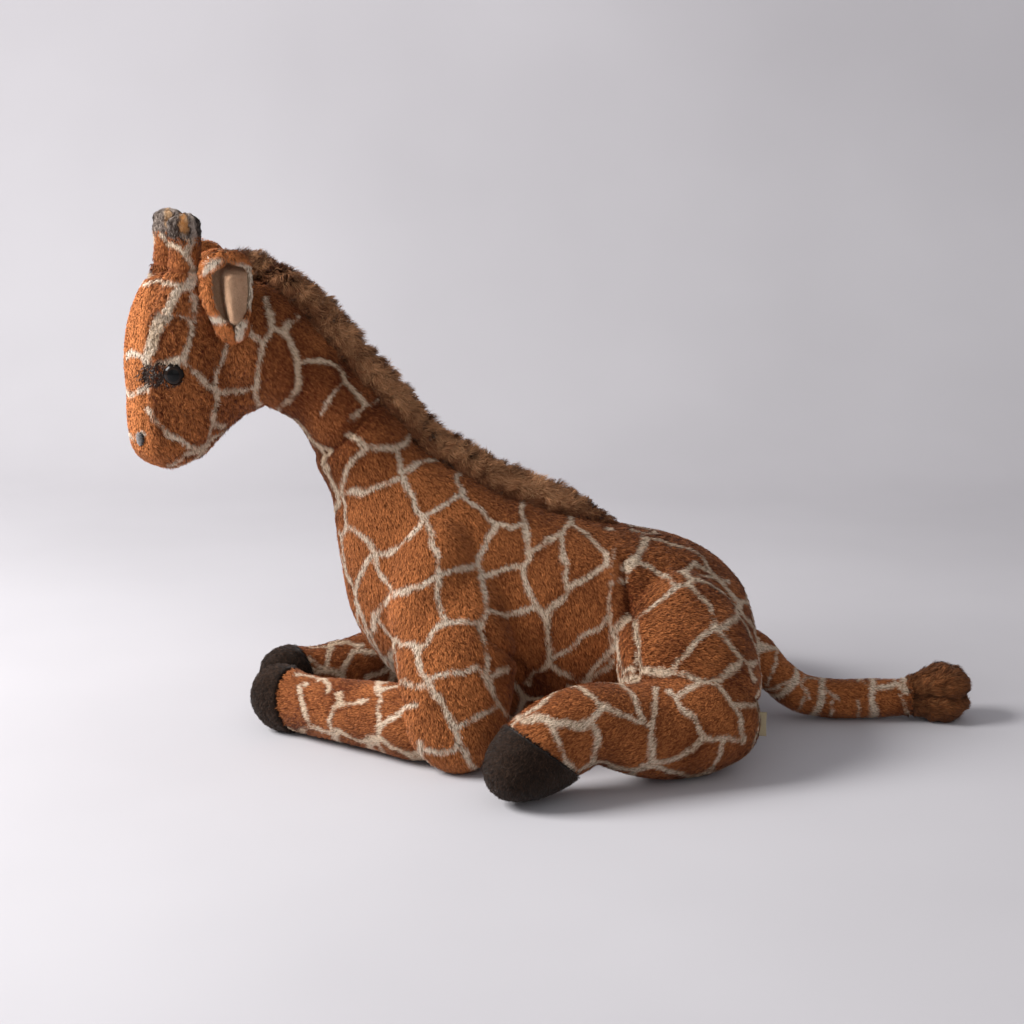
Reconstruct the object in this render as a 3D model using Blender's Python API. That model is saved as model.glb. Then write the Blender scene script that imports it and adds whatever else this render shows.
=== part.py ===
"""Plush giraffe lying on its belly, with its neck raised and its legs folded along the floor.

X runs from the nose (-X) to the tail tuft (+X), the left side faces -Y and Z is up.
Every stuffed piece is one closed form, lofted through elliptical rings along its own
spine.  Where two forms meet, the smaller one is cut by a grown copy of the larger one.
A limb that bends ends in a round knuckle, which turns in a hollow of the piece that
carries it.
"""

import math

import bmesh
import bpy
import numpy as np
from mathutils import Matrix, Vector

# Clearances
GAP = 0.0003            # between sewn pieces that meet
KNUCKLE_GAP = 0.0009    # round a knuckle that turns
FLOOR_CUT = 0.0005      # how deep a resting form is cut flat
OVERRUN = 0.02          # how far a cutter runs past what it cuts

# Body
BODY_LENGTH = 0.364     # from the neck seam to the rump
BODY_HEIGHT = 0.187     # floor to the top of the back
BODY_WIDTH = 0.186

# Neck and head
NECK_LENGTH = 0.116     # from the neck seam to the back of the head
NECK_THICKNESS = 0.080
NECK_PIVOT_DEPTH = 0.030   # from the neck's seam down to the axis it nods about
CROWN_SHARES = (0.4, 0.75, 1.0)   # of the crown's height, where it has rings
NECK_HEADING = math.radians(139)   # from +X towards +Z
HEAD_HEIGHT = 0.182     # crown to chin
HEAD_DEPTH = 0.118      # forehead to the back of the jaw
HEAD_WIDTH = 0.102
HEAD_YAW = math.radians(20)
HORN_HEIGHT = 0.070
HORN_DIAMETER = 0.023
HORN_SPREAD = 0.072
EAR_LENGTH = 0.100      # from root to tip, round the bend
EAR_WIDTH = 0.046
EAR_CLOTH = 0.0032
EAR_LINING = 0.0018
EAR_SEAM_GAP = 0.0006      # between cloth and lining
NOSTRIL_SPREAD = 0.040
NOSTRIL_LENGTH = 0.012
NOSTRIL_WIDTH = 0.008

# Eyes and their lock washers
EYE_DIAMETER = 0.017
EYE_BULGE = 0.0055
EYE_RECESS = 0.0014
EYE_SHANK_DIAMETER = 0.005
EYE_SHANK_LENGTH = 0.014
SKIN_THICKNESS = 0.0032
WASHER_DIAMETER = 0.015
WASHER_THICKNESS = 0.0012

# Legs
THIGH_HEIGHT = 0.128
THIGH_LENGTH = 0.120
THIGH_WIDTH = 0.096
SHANK_LENGTH = 0.172    # knuckle to the middle of the hoof
SHANK_THICKNESS = 0.088
SHANK_SPLAY = math.radians(26)
HIND_HOOF_LENGTH = 0.072
HIND_HOOF_WIDTH = 0.064
HIND_HOOF_HEIGHT = 0.058
SHOULDER_HEIGHT = 0.168
SHOULDER_LENGTH = 0.098
SHOULDER_WIDTH = 0.070
FORELEG_LENGTH = 0.157  # knuckle to the middle of the hoof
FORELEG_THICKNESS = 0.064
FRONT_HOOF_LENGTH = 0.050
FRONT_HOOF_WIDTH = 0.052
FRONT_HOOF_HEIGHT = 0.058
FRONT_HOOF_SPACE = 0.008   # between the two front hooves

# Tail
TAIL_LENGTH = 0.149
TAIL_THICKNESS = 0.038
TUFT_LENGTH = 0.052
TUFT_HEIGHT = 0.048
TUFT_WIDTH = 0.050

# Mane
MANE_HEIGHT = 0.021
MANE_WIDTH = 0.022

# Sewn label
LABEL_HEIGHT = 0.040
LABEL_REACH = 0.004     # how far it stands out of its seam
LABEL_THICKNESS = 0.0012

# Swings, as angles from rest
FORELEG_SWING = math.radians(25)
SHANK_SWING = math.radians(20)
TAIL_LIFT = math.radians(45)
SWING_STEPS = 4

# Angles between faces: above the first an edge is sharp, below the second two faces join
SHARP_ANGLE = math.radians(40)
FLAT_ANGLE = math.radians(2)

# Counts of rings along a form and of sides round it
BODY_RINGS = 22
BODY_SIDES = 20
HEAD_RINGS = 15
HOLLOW_RINGS = 14
TAIL_RINGS = 19
LIMB_RINGS = 12
LIMB_SIDES = 16
SMALL_RINGS = 6
SMALL_SIDES = 12

LEFT = -1               # the left side lies towards -Y
SIDES = ((LEFT, "left"), (-LEFT, "right"))

# Spines, one row for each station: where it lies, then its half height and half width.
# The torso, from the rump to the neck seam: along as a share of BODY_LENGTH, lift and
# half height as shares of BODY_HEIGHT, half width as a share of half BODY_WIDTH.
BODY_SHARES = (
    (0.525, 0.330, 0.000, 0.000),
    (0.486, 0.352, 0.205, 0.480),
    (0.408, 0.402, 0.366, 0.820),
    (0.290, 0.462, 0.462, 0.980),
    (0.165, 0.490, 0.492, 1.000),
    (0.025, 0.525, 0.525, 0.990),
    (-0.128, 0.580, 0.560, 0.950),
    (-0.240, 0.745, 0.532, 0.860),
    (-0.340, 1.010, 0.392, 0.690),
    (-0.412, 1.240, 0.262, 0.500),
    (-0.470, 1.440, 0.214, 0.430),
)
# The upper neck: along, then off the straight line, half height and half width.
NECK_SHARES = (
    (-0.02, 0.00, 0.510, 0.50),
    (0.36, 0.11, 0.465, 0.46),
    (0.76, 0.11, 0.570, 0.50),
    (1.08, 0.08, 0.620, 0.52),
    (1.30, -0.04, 0.440, 0.40),
    (1.45, -0.10, 0.000, 0.00),
)
# The head, from crown to chin: ahead of its middle line and half depth as shares of
# HEAD_DEPTH, height as a share of HEAD_HEIGHT, half width as a share of half HEAD_WIDTH.
HEAD_SHARES = (
    (-0.06, 1.030, 0.000, 0.00),
    (-0.09, 0.970, 0.290, 0.46),
    (-0.09, 0.890, 0.425, 0.72),
    (-0.04, 0.740, 0.490, 0.92),
    (0.01, 0.505, 0.490, 1.00),
    (0.07, 0.340, 0.436, 0.90),
    (0.160, 0.176, 0.346, 0.74),
    (0.205, 0.075, 0.260, 0.60),
    (0.220, -0.005, 0.000, 0.00),
)
# The haunch, from the hip down: back, out and down, half length and half width.
THIGH_SHARES = (
    (-0.03, -0.20, -0.09, 0.00, 0.00),
    (-0.02, 0.00, 0.00, 0.30, 0.28),
    (0.00, 0.30, 0.22, 0.47, 0.43),
    (0.02, 0.58, 0.44, 0.515, 0.50),
    (0.06, 0.76, 0.64, 0.46, 0.46),
    (0.10, 0.84, 0.82, 0.00, 0.00),
)
# The shank from its knuckle: along, lift of the spine, half height and half width.
SHANK_SHARES = (
    (0.000, 0.500, 0.500, 0.500),
    (0.330, 0.500, 0.483, 0.460),
    (0.530, 0.590, 0.415, 0.410),
    (0.617, 0.648, 0.386, 0.386),
)
# A hoof, from above its seam to its toe: along from its middle, lift, half height and
# half width, as shares of its length, height and width.
HIND_HOOF_SHARES = (
    (-0.510, 0.90, 0.640, 0.47),
    (-0.133, 0.69, 0.630, 0.50),
    (0.140, 0.53, 0.520, 0.48),
    (0.383, 0.44, 0.340, 0.34),
    (0.510, 0.42, 0.000, 0.00),
)
FRONT_HOOF_SHARES = (
    (-0.420, 0.49, 0.480, 0.49),
    (-0.120, 0.51, 0.515, 0.51),
    (0.150, 0.50, 0.490, 0.49),
    (0.380, 0.46, 0.350, 0.36),
    (0.520, 0.44, 0.000, 0.00),
)
# The shoulder, from the top down: back, out and down, half length and half width.
SHOULDER_SHARES = (
    (-0.10, -0.28, -0.10, 0.00, 0.00),
    (-0.08, 0.00, 0.00, 0.36, 0.36),
    (-0.03, 0.38, 0.24, 0.50, 0.50),
    (0.00, 0.74, 0.46, 0.52, 0.54),
    (0.00, 1.00, 0.63, 0.48, 0.50),
    (0.02, 1.20, 0.76, 0.42, 0.43),
    (0.04, 1.34, 0.925, 0.00, 0.00),
)
FORELEG_SHARES = (
    (0.000, 0.50, 0.500, 0.500),
    (0.250, 0.50, 0.490, 0.490),
    (0.500, 0.47, 0.455, 0.460),
    (0.740, 0.44, 0.430, 0.425),
)
# The tail from its knuckle: along, lift, half height and half width.
TAIL_SHARES = (
    (0.000, 1.80, 0.490, 0.490),
    (0.170, 1.06, 0.490, 0.480),
    (0.310, 0.66, 0.500, 0.480),
    (0.470, 0.52, 0.500, 0.480),
    (0.750, 0.51, 0.500, 0.480),
    (1.000, 0.56, 0.500, 0.480),
)
TUFT_SHARES = (
    (0.22, 0.49, 0.45, 0.44),
    (0.55, 0.52, 0.52, 0.50),
    (0.85, 0.52, 0.38, 0.38),
    (1.00, 0.51, 0.00, 0.00),
)
# Horns: height and radius.
HORN_SHARES = (
    (-0.12, 0.62),
    (0.05, 0.56),
    (0.35, 0.46),
    (0.64, 0.47),
)
HORN_TIP_SHARES = (
    (0.64, 0.50),
    (0.78, 0.58),
    (0.92, 0.48),
    (1.00, 0.00),
)
# The ear's bend: out and up from its root as shares of its length, then its half width
# and how far round its cross-section wraps.
EAR_SHARES = (
    (0.00, 0.00, 0.40, 0.35),
    (0.09, 0.17, 0.66, 0.42),
    (0.20, 0.27, 0.90, 0.48),
    (0.31, 0.22, 1.00, 0.60),
    (0.37, 0.05, 1.00, 0.85),
    (0.38, -0.13, 0.88, 1.00),
    (0.35, -0.28, 0.60, 0.95),
    (0.31, -0.37, 0.24, 0.70),
)
EAR_WRAP = math.radians(52)
EAR_COLUMNS = 8
EAR_ROOT_SHARES = (-0.19, 0.875)   # ahead of the head's middle line, and up
HORN_ROOT_SHARES = (0.03, 0.880)
EYE_SHARES = (0.36, 0.490)         # ahead as a share of the half depth there, and up
NOSTRIL_HEIGHT_SHARE = 0.145
HEAD_AHEAD_SHARE = 0.49            # of its depth, ahead of the neck's end
CHIN_DROP_SHARE = 0.590            # of its height, below the neck's end

# Places on the body, as shares of BODY_LENGTH, half BODY_WIDTH and BODY_HEIGHT
HIP_SHARES = (0.326, 0.62, 0.715)
SHOULDER_TOP_SHARES = (-0.215, 0.60, 0.830)
ELBOW_SHARES = (-0.293, 1.23)
HOCK_SHARES = (0.376, 1.505)
TAIL_ROOT_SHARE = 0.514
MANE_START_SHARE = 0.030           # of the torso's back, from the neck seam
MANE_END_SHARE = 0.53
MANE_NECK_STATIONS = 4             # of the upper neck's, under its mane
MANE_CROWN_SHARES = (0.89, 0.97, 1.00)   # of HEAD_HEIGHT, where it runs over the crown
MANE_FADE_SHARES = (0.12, 0.92)    # of a half wave, from one end's height to the other's
SHANK_SEAM_SHARES = (-0.24, 0.68)  # of the hoof's length and height, from its middle
FORELEG_SEAM_SHARES = (-0.30, 0.50)
SHANK_SEAM_TILT = math.radians(50)
FORELEG_SEAM_TILT = math.radians(10)
LABEL_TURN = math.radians(-12)
LABEL_LIFT_SHARE = 0.62            # of SHANK_THICKNESS, to its middle

materials = {}


def material(name, colour, roughness, metallic=0.0):
    """One Principled material for each fabric or plastic of the toy."""
    if name not in materials:
        made = bpy.data.materials.new(name)
        made.use_nodes = True
        shader = made.node_tree.nodes["Principled BSDF"]
        shader.inputs["Base Color"].default_value = (*colour, 1)
        shader.inputs["Roughness"].default_value = roughness
        shader.inputs["Metallic"].default_value = metallic
        made.diffuse_color = (*colour, 1)
        materials[name] = made
    return materials[name]


def plush():
    return material("tan_plush", (0.42, 0.16, 0.05), 0.9)


def hoof_velour():
    return material("hoof_velour", (0.035, 0.020, 0.013), 0.85)


def ear_velour():
    return material("ear_velour", (0.28, 0.18, 0.11), 0.85)


def long_pile():
    return material("mane_pile", (0.16, 0.085, 0.038), 0.95)


def tip_pile():
    return material("horn_tip_pile", (0.20, 0.17, 0.14), 0.95)


def black_plastic():
    return material("eye_plastic", (0.01, 0.009, 0.008), 0.08)


def white_plastic():
    return material("washer_plastic", (0.75, 0.75, 0.72), 0.4)


def embroidery():
    return material("nose_thread", (0.12, 0.11, 0.11), 0.8)


def label_cloth():
    return material("label_cloth", (0.80, 0.78, 0.72), 0.7)


def smooth(table, count):
    """Read a table of rows at count places, along a Catmull-Rom curve through its rows.

    The places crowd towards both ends, where a form closes.
    """
    rows = np.array(table, float)
    steps = np.linalg.norm(np.diff(rows[:, :-2], axis=0), axis=1)
    knots = np.concatenate(([0.0], np.cumsum(steps)))
    slopes = np.gradient(rows, knots, axis=0)
    places = knots[-1] * (1 - np.cos(np.linspace(0, math.pi, count))) / 2
    found = []
    for place in places:
        index = min(int(np.searchsorted(knots, place, side="right")) - 1, len(knots) - 2)
        width = knots[index + 1] - knots[index]
        t = (place - knots[index]) / width
        found.append(
            (2 * t**3 - 3 * t**2 + 1) * rows[index]
            + (t**3 - 2 * t**2 + t) * width * slopes[index]
            + (3 * t**2 - 2 * t**3) * rows[index + 1]
            + (t**3 - t**2) * width * slopes[index + 1]
        )
    return np.array(found)


def spine_rings(stations, count):
    """Centres and radii along a spine.  Squared radii are blended, so ends close round."""
    table = [(*centre, high * high, wide * wide) for centre, high, wide in stations]
    read = smooth(table, count)
    centres = [Vector(row[:3]) for row in read]
    radii = np.sqrt(np.clip(read[:, 3:], 0, None))
    return centres, radii


def loft_mesh(name, stations, across, rings, sides):
    """A closed form of triangles through elliptical rings, so its grown copy fits it.

    A station is a centre, its radius square to across, and its radius along across.
    A ring without a radius is a pole, and any other end is closed flat.
    """
    centres, radii = spine_rings(stations, rings)
    form = bmesh.new()
    loops = []
    for index, centre in enumerate(centres):
        before = centres[max(index - 1, 0)]
        after = centres[min(index + 1, rings - 1)]
        along = (after - before).normalized()
        wide = (across - along * across.dot(along)).normalized()
        high = along.cross(wide)
        tall, broad = radii[index]
        if max(tall, broad) < GAP:
            loops.append([form.verts.new(centre)])
            continue
        loop = []
        for step in range(sides):
            turn = 2 * math.pi * step / sides
            point = centre + wide * broad * math.cos(turn) + high * tall * math.sin(turn)
            loop.append(form.verts.new(point))
        loops.append(loop)
    for one, two in zip(loops, loops[1:]):
        for step in range(sides):
            after = (step + 1) % sides
            corners = (one[step % len(one)], one[after % len(one)],
                       two[after % len(two)], two[step % len(two)])
            form.faces.new(tuple(dict.fromkeys(corners)))
    for loop in (loops[0], loops[-1]):
        if len(loop) > 1:
            form.faces.new(loop)
    bmesh.ops.triangulate(form, faces=form.faces)
    return finish_mesh(name, form)


def finish_mesh(name, form):
    """Turn a bmesh into a mesh whose faces point out."""
    bmesh.ops.recalc_face_normals(form, faces=form.faces)
    mesh = bpy.data.meshes.new(name)
    form.to_mesh(mesh)
    form.free()
    return mesh


def grown(mesh, distance):
    """A copy of a mesh whose surface lies a distance outside it."""
    form = bmesh.new()
    form.from_mesh(mesh)
    form.normal_update()
    moves = [vert.normal * distance for vert in form.verts]
    for vert, move in zip(form.verts, moves):
        vert.co += move
    copy = bpy.data.meshes.new(mesh.name + "_grown")
    form.to_mesh(copy)
    form.free()
    return copy


def revolve_mesh(name, profile, sides):
    """A turned solid about Z from (radius, height) points whose ends lie on the axis."""
    form = bmesh.new()
    loops = []
    for radius, height in profile:
        if radius == 0:
            loops.append([form.verts.new((0, 0, height))])
            continue
        loops.append([form.verts.new((radius * math.cos(2 * math.pi * step / sides),
                                      radius * math.sin(2 * math.pi * step / sides),
                                      height)) for step in range(sides)])
    for one, two in zip(loops, loops[1:]):
        for step in range(sides):
            after = (step + 1) % sides
            corners = (one[step % len(one)], one[after % len(one)],
                       two[after % len(two)], two[step % len(two)])
            form.faces.new(tuple(dict.fromkeys(corners)))
    return finish_mesh(name, form)


def ring_mesh(name, inner, outer, thickness, sides):
    """A flat ring about Z, centred on its thickness."""
    form = bmesh.new()
    loops = []
    half = thickness / 2
    for radius, height in ((inner, -half), (outer, -half), (outer, half), (inner, half)):
        loops.append([form.verts.new((radius * math.cos(2 * math.pi * step / sides),
                                      radius * math.sin(2 * math.pi * step / sides),
                                      height)) for step in range(sides)])
    for one, two in zip(loops, loops[1:] + loops[:1]):
        for step in range(sides):
            after = (step + 1) % sides
            form.faces.new((one[step], one[after], two[after], two[step]))
    return finish_mesh(name, form)


def prism_mesh(name, outline, half_width):
    """A prism along Y from an outline of (x, z) points."""
    form = bmesh.new()
    near = [form.verts.new((x, -half_width, z)) for x, z in outline]
    far = [form.verts.new((x, half_width, z)) for x, z in outline]
    form.faces.new(near)
    form.faces.new(far)
    for index in range(len(outline)):
        after = (index + 1) % len(outline)
        form.faces.new((near[index], near[after], far[after], far[index]))
    return finish_mesh(name, form)


def empty(name, place, parent=None):
    """A joint's place, or the root that everything hangs from."""
    made = bpy.data.objects.new(name, None)
    bpy.context.collection.objects.link(made)
    made.empty_display_size = EYE_DIAMETER
    made["place"] = tuple(place)
    made.location = Vector(place) - (Vector(parent["place"]) if parent else Vector())
    made.parent = parent
    return made


def add(name, mesh, finish, parent, pose=None):
    """Put a mesh, given in the toy's frame or moved there by pose, under its joint."""
    made = bpy.data.objects.new(name, mesh)
    bpy.context.collection.objects.link(made)
    mesh.name = name
    if finish:
        mesh.materials.append(finish)
    mesh.shade_smooth()
    mesh.set_sharp_from_angle(angle=SHARP_ANGLE)
    joint = Matrix.Translation(Vector(parent["place"]))
    if pose is None:
        mesh.transform(joint.inverted())
        pose = joint
    made.parent = parent
    made.matrix_basis = joint.inverted() @ pose
    return made


def cutter(name, mesh, parent, pose=None):
    """A hidden form that only cuts others."""
    made = add("cut_" + name, mesh, None, parent, pose)
    made.hide_render = True
    made.display_type = "WIRE"
    return made


def cut(piece, *tools):
    """Take each tool's form out of a piece."""
    for tool in tools:
        modifier = piece.modifiers.new(tool.name, "BOOLEAN")
        modifier.operation = "DIFFERENCE"
        modifier.solver = "EXACT"
        modifier.object = tool


def body_stations(seat=0.0):
    """The torso's spine, from the rump to the neck seam, moved up by its seat."""
    return [(Vector((along * BODY_LENGTH, 0, lift * BODY_HEIGHT + seat)),
             tall * BODY_HEIGHT, broad * BODY_WIDTH / 2)
            for along, lift, tall, broad in BODY_SHARES]


def seam_ball(stations):
    """The ball that the upper neck nods on: its centre, its radius and its way up.

    Its crown fills the end of the torso, NECK_PIVOT_DEPTH above its centre.
    """
    (seam, high, wide), (before, _, _) = stations[-1], stations[-2]
    way = (seam - before).normalized()
    radius = math.hypot((high + wide) / 2, NECK_PIVOT_DEPTH)
    return seam - way * NECK_PIVOT_DEPTH, radius, way


def capped(stations):
    """Close the torso's neck end with the crown of its ball."""
    centre, radius, way = seam_ball(stations)
    crown = []
    for share in CROWN_SHARES:
        height = NECK_PIVOT_DEPTH + (radius - NECK_PIVOT_DEPTH) * share
        edge = math.sqrt(max(radius**2 - height**2, 0))
        crown.append((centre + way * height, edge, edge))
    return [*stations, *crown]


def knuckle(stations):
    """Close a limb's first station with a half ball about its centre."""
    (start, high, wide), (following, _, _) = stations[:2]
    back = (start - following).normalized()
    radius = (high + wide) / 2
    flank = math.sqrt(0.5)
    return [(start + back * radius, 0.0, 0.0),
            (start + back * radius * flank, high * flank, wide * flank),
            *stations]


def resting(mesh):
    """How far a form moves so that it sinks FLOOR_CUT into the floor."""
    return -FLOOR_CUT - min(vert.co.z for vert in mesh.vertices)


def flatten(mesh):
    """Cut a form flat at the floor."""
    form = bmesh.new()
    form.from_mesh(mesh)
    slice_form(form, Vector(), Vector((0, 0, -1)))
    form.to_mesh(mesh)
    form.free()


def slice_form(form, place, outward):
    """Take off what lies beyond a plane, and close the cut."""
    cut_edges = bmesh.ops.bisect_plane(
        form, geom=form.verts[:] + form.edges[:] + form.faces[:],
        plane_co=place, plane_no=outward, clear_outer=True)["geom_cut"]
    rim = [item for item in cut_edges if isinstance(item, bmesh.types.BMEdge)]
    bmesh.ops.holes_fill(form, edges=rim)
    bmesh.ops.recalc_face_normals(form, faces=form.faces)


def half_of(mesh, name, place, outward):
    """A copy of a mesh without what lies beyond a plane."""
    form = bmesh.new()
    form.from_mesh(mesh)
    slice_form(form, place, outward)
    return finish_mesh(name, form)


def swept(meshes, joint, axis, angle, reach):
    """The convex form that a limb's knuckle end, and what is sewn to it, fills as it swings."""
    near = [vert.co for mesh in meshes for vert in grown(mesh, KNUCKLE_GAP).vertices
            if (vert.co - joint).length < reach]
    form = bmesh.new()
    for step in range(SWING_STEPS + 1):
        turn = Matrix.Rotation(angle * step / SWING_STEPS, 3, axis)
        for place in near:
            form.verts.new(joint + turn @ (place - joint))
    hull = bmesh.ops.convex_hull(form, input=form.verts)
    spare = {item for key in ("geom_interior", "geom_unused") for item in hull[key]
             if isinstance(item, bmesh.types.BMVert)}
    bmesh.ops.delete(form, geom=list(spare), context="VERTS")
    bmesh.ops.dissolve_limit(form, angle_limit=FLAT_ANGLE, verts=form.verts,
                             edges=form.edges)
    return finish_mesh(meshes[0].name + "_swept", form)


def make_torso(root):
    """Barrel, chest and lower neck, closed with a crown on which the upper neck nods."""
    across = Vector((0, 1, 0))
    trial = loft_mesh("trial", body_stations(), across, BODY_RINGS, BODY_SIDES)
    seat = resting(trial)
    stations = body_stations(seat)
    mesh = loft_mesh("torso", capped(stations), across, BODY_RINGS, BODY_SIDES)
    tool = cutter("torso", grown(mesh, GAP), root)
    flatten(mesh)
    return add("torso", mesh, plush(), root), tool, stations, seat


def on_body(shares, seat, side=1):
    """A place given in shares of the body's length, half width and height."""
    along, out, lift = shares
    return Vector((along * BODY_LENGTH, side * out * BODY_WIDTH / 2,
                   lift * BODY_HEIGHT + seat))


def neck_way():
    """The way that the upper neck runs."""
    return Vector((math.cos(NECK_HEADING), 0, math.sin(NECK_HEADING)))


def neck_stations(seam):
    """The upper neck's spine, from its seam into the head."""
    off_way = Vector((math.sin(NECK_HEADING), 0, -math.cos(NECK_HEADING)))
    return [(seam + neck_way() * along * NECK_LENGTH + off_way * off * NECK_THICKNESS,
             tall * NECK_THICKNESS, broad * NECK_THICKNESS)
            for along, off, tall, broad in NECK_SHARES]


def hollow_profile(radius):
    """Half the section of a many-sided ball whose flats lie at a radius."""
    reach = radius / math.cos(math.pi / 2 / HOLLOW_RINGS)
    turns = [math.pi * step / HOLLOW_RINGS for step in range(1, HOLLOW_RINGS)]
    return [(0, -reach), *((reach * math.sin(turn), -reach * math.cos(turn))
                           for turn in turns), (0, reach)]


def neck_ball_pose(centre, way):
    """The frame of the neck's ball: Z along the neck, X across it, as its rings lie."""
    across = Vector((0, 1, 0))
    turn = Matrix((across, way.cross(across), way)).transposed()
    return Matrix.Translation(centre) @ turn.to_4x4()


def make_upper_neck(parent, ball, stations, head_tool):
    """The upper neck, hollowed at its seam so that it slides over the torso's crown."""
    centre, radius, way = ball
    mesh = loft_mesh("upper_neck", stations, Vector((0, 1, 0)), LIMB_RINGS, BODY_SIDES)
    tool = cutter("upper_neck", grown(mesh, GAP), parent)
    neck = add("upper_neck", mesh, plush(), parent)
    hollow = revolve_mesh("neck_hollow", hollow_profile(radius + KNUCKLE_GAP), BODY_SIDES)
    hollow_tool = cutter("neck_hollow", hollow, parent, neck_ball_pose(centre, way))
    cut(neck, head_tool, hollow_tool)
    return tool, hollow_tool


def head_stations():
    """The head's spine in its own frame, from the crown to the chin."""
    return [(Vector((-ahead * HEAD_DEPTH, 0, lift * HEAD_HEIGHT)),
             deep * HEAD_DEPTH, broad * HEAD_WIDTH / 2)
            for ahead, lift, deep, broad in HEAD_SHARES]


def head_section(lift_share):
    """The head's middle, half depth and half width at a share of its height."""
    rows = sorted((lift, ahead, deep, broad) for ahead, lift, deep, broad in HEAD_SHARES)
    lifts, aheads, deeps, broads = zip(*rows)
    return (-float(np.interp(lift_share, lifts, aheads)) * HEAD_DEPTH,
            float(np.interp(lift_share, lifts, deeps)) * HEAD_DEPTH,
            float(np.interp(lift_share, lifts, broads)) * HEAD_WIDTH / 2)


def head_frame(neck_end):
    """The head's own frame: its face looks along -X and its chin is at height zero."""
    place = neck_end - Vector((HEAD_AHEAD_SHARE * HEAD_DEPTH, 0,
                               CHIN_DROP_SHARE * HEAD_HEIGHT))
    return Matrix.Translation(place) @ Matrix.Rotation(HEAD_YAW, 4, "Z")


def eye_pose(pose, side):
    """An eye's own frame, whose Z axis leaves the head's surface at a right angle."""
    ahead_share, lift_share = EYE_SHARES
    middle, deep, broad = head_section(lift_share)
    flank = math.sqrt(1 - ahead_share**2)
    place = Vector((middle - ahead_share * deep, side * flank * broad,
                    lift_share * HEAD_HEIGHT))
    outward = Vector((-ahead_share / deep, side * flank / broad, 0)).normalized()
    return pose @ Matrix.Translation(place) @ outward.to_track_quat("Z", "Y").to_matrix().to_4x4()


def eye_profile():
    """Half the eye's section: its shank below the skin, its flange and its dome."""
    shank = EYE_SHANK_DIAMETER / 2
    edge = EYE_DIAMETER / 2
    dome = [(edge * math.cos(turn), EYE_BULGE * math.sin(turn))
            for turn in np.linspace(0, math.pi / 2, 6)[:-1]]
    return [(0, -EYE_SHANK_LENGTH), (shank, -EYE_SHANK_LENGTH), (shank, -EYE_RECESS),
            (edge, -EYE_RECESS), *dome, (0, EYE_BULGE)]


def eye_room_profile():
    """What the eye, its shank and its washer need inside the head."""
    shank = EYE_SHANK_DIAMETER / 2 + GAP
    edge = EYE_DIAMETER / 2 + GAP
    washer = WASHER_DIAMETER / 2 + GAP
    top = -EYE_RECESS - SKIN_THICKNESS + GAP
    bottom = top - WASHER_THICKNESS - 2 * GAP
    end = -EYE_SHANK_LENGTH - GAP
    return [(0, end), (shank, end), (shank, bottom), (washer, bottom), (washer, top),
            (shank, top), (shank, -EYE_RECESS - GAP), (edge, -EYE_RECESS - GAP),
            (edge, OVERRUN), (0, OVERRUN)]


def make_head(parent, pose):
    mesh = loft_mesh("head", head_stations(), Vector((0, 1, 0)), HEAD_RINGS, BODY_SIDES)
    tool = cutter("head", grown(mesh, GAP), parent, pose)
    head = add("head", mesh, plush(), parent, pose)
    washer_lift = -EYE_RECESS - SKIN_THICKNESS - WASHER_THICKNESS / 2
    for side, name in SIDES:
        at_eye = eye_pose(pose, side)
        room = revolve_mesh("eye_room_" + name, eye_room_profile(), SMALL_SIDES)
        cut(head, cutter("eye_room_" + name, room, parent, at_eye))
        eye = revolve_mesh("eye_" + name, eye_profile(), SMALL_SIDES)
        add("eye_" + name, eye, black_plastic(), parent, at_eye)
        washer = ring_mesh("eye_washer_" + name, EYE_SHANK_DIAMETER / 2 + GAP,
                           WASHER_DIAMETER / 2, WASHER_THICKNESS, SMALL_SIDES)
        add("eye_washer_" + name, washer, white_plastic(), parent,
            at_eye @ Matrix.Translation((0, 0, washer_lift)))
    return tool


def make_nostrils(parent, pose, head_tool):
    """Two pads of satin stitch on the muzzle."""
    middle, deep, broad = head_section(NOSTRIL_HEIGHT_SHARE)
    out = NOSTRIL_SPREAD / 2
    place_x = middle - deep * math.sqrt(1 - (out / broad) ** 2)
    for side, name in SIDES:
        centre = Vector((place_x, side * out, NOSTRIL_HEIGHT_SHARE * HEAD_HEIGHT))
        half = Vector((0, 0, NOSTRIL_LENGTH / 2))
        thick = NOSTRIL_WIDTH / 4
        stations = [(centre - half, 0, 0), (centre, thick, NOSTRIL_WIDTH / 2),
                    (centre + half, 0, 0)]
        mesh = loft_mesh("nostril_" + name, stations, Vector((0, 1, 0)), SMALL_RINGS,
                         SMALL_SIDES)
        cut(add("nostril_" + name, mesh, embroidery(), parent, pose), head_tool)


def make_horns(parent, pose, head_tool):
    """Each horn is a plush post under a longer-piled tip."""
    ahead, lift = HORN_ROOT_SHARES
    for side, name in SIDES:
        foot = Vector((-ahead * HEAD_DEPTH, side * HORN_SPREAD / 2, lift * HEAD_HEIGHT))
        for label, rows, finish in (("horn_", HORN_SHARES, plush()),
                                    ("horn_tip_", HORN_TIP_SHARES, tip_pile())):
            start = GAP if rows is HORN_TIP_SHARES else 0
            stations = [(foot + Vector((0, 0, up * HORN_HEIGHT + start)),
                         radius * HORN_DIAMETER, radius * HORN_DIAMETER)
                        for up, radius in rows]
            mesh = loft_mesh(label + name, stations, Vector((0, 1, 0)), SMALL_RINGS,
                             SMALL_SIDES)
            piece = add(label + name, mesh, finish, parent, pose)
            if rows is HORN_SHARES:
                cut(piece, head_tool)


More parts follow.
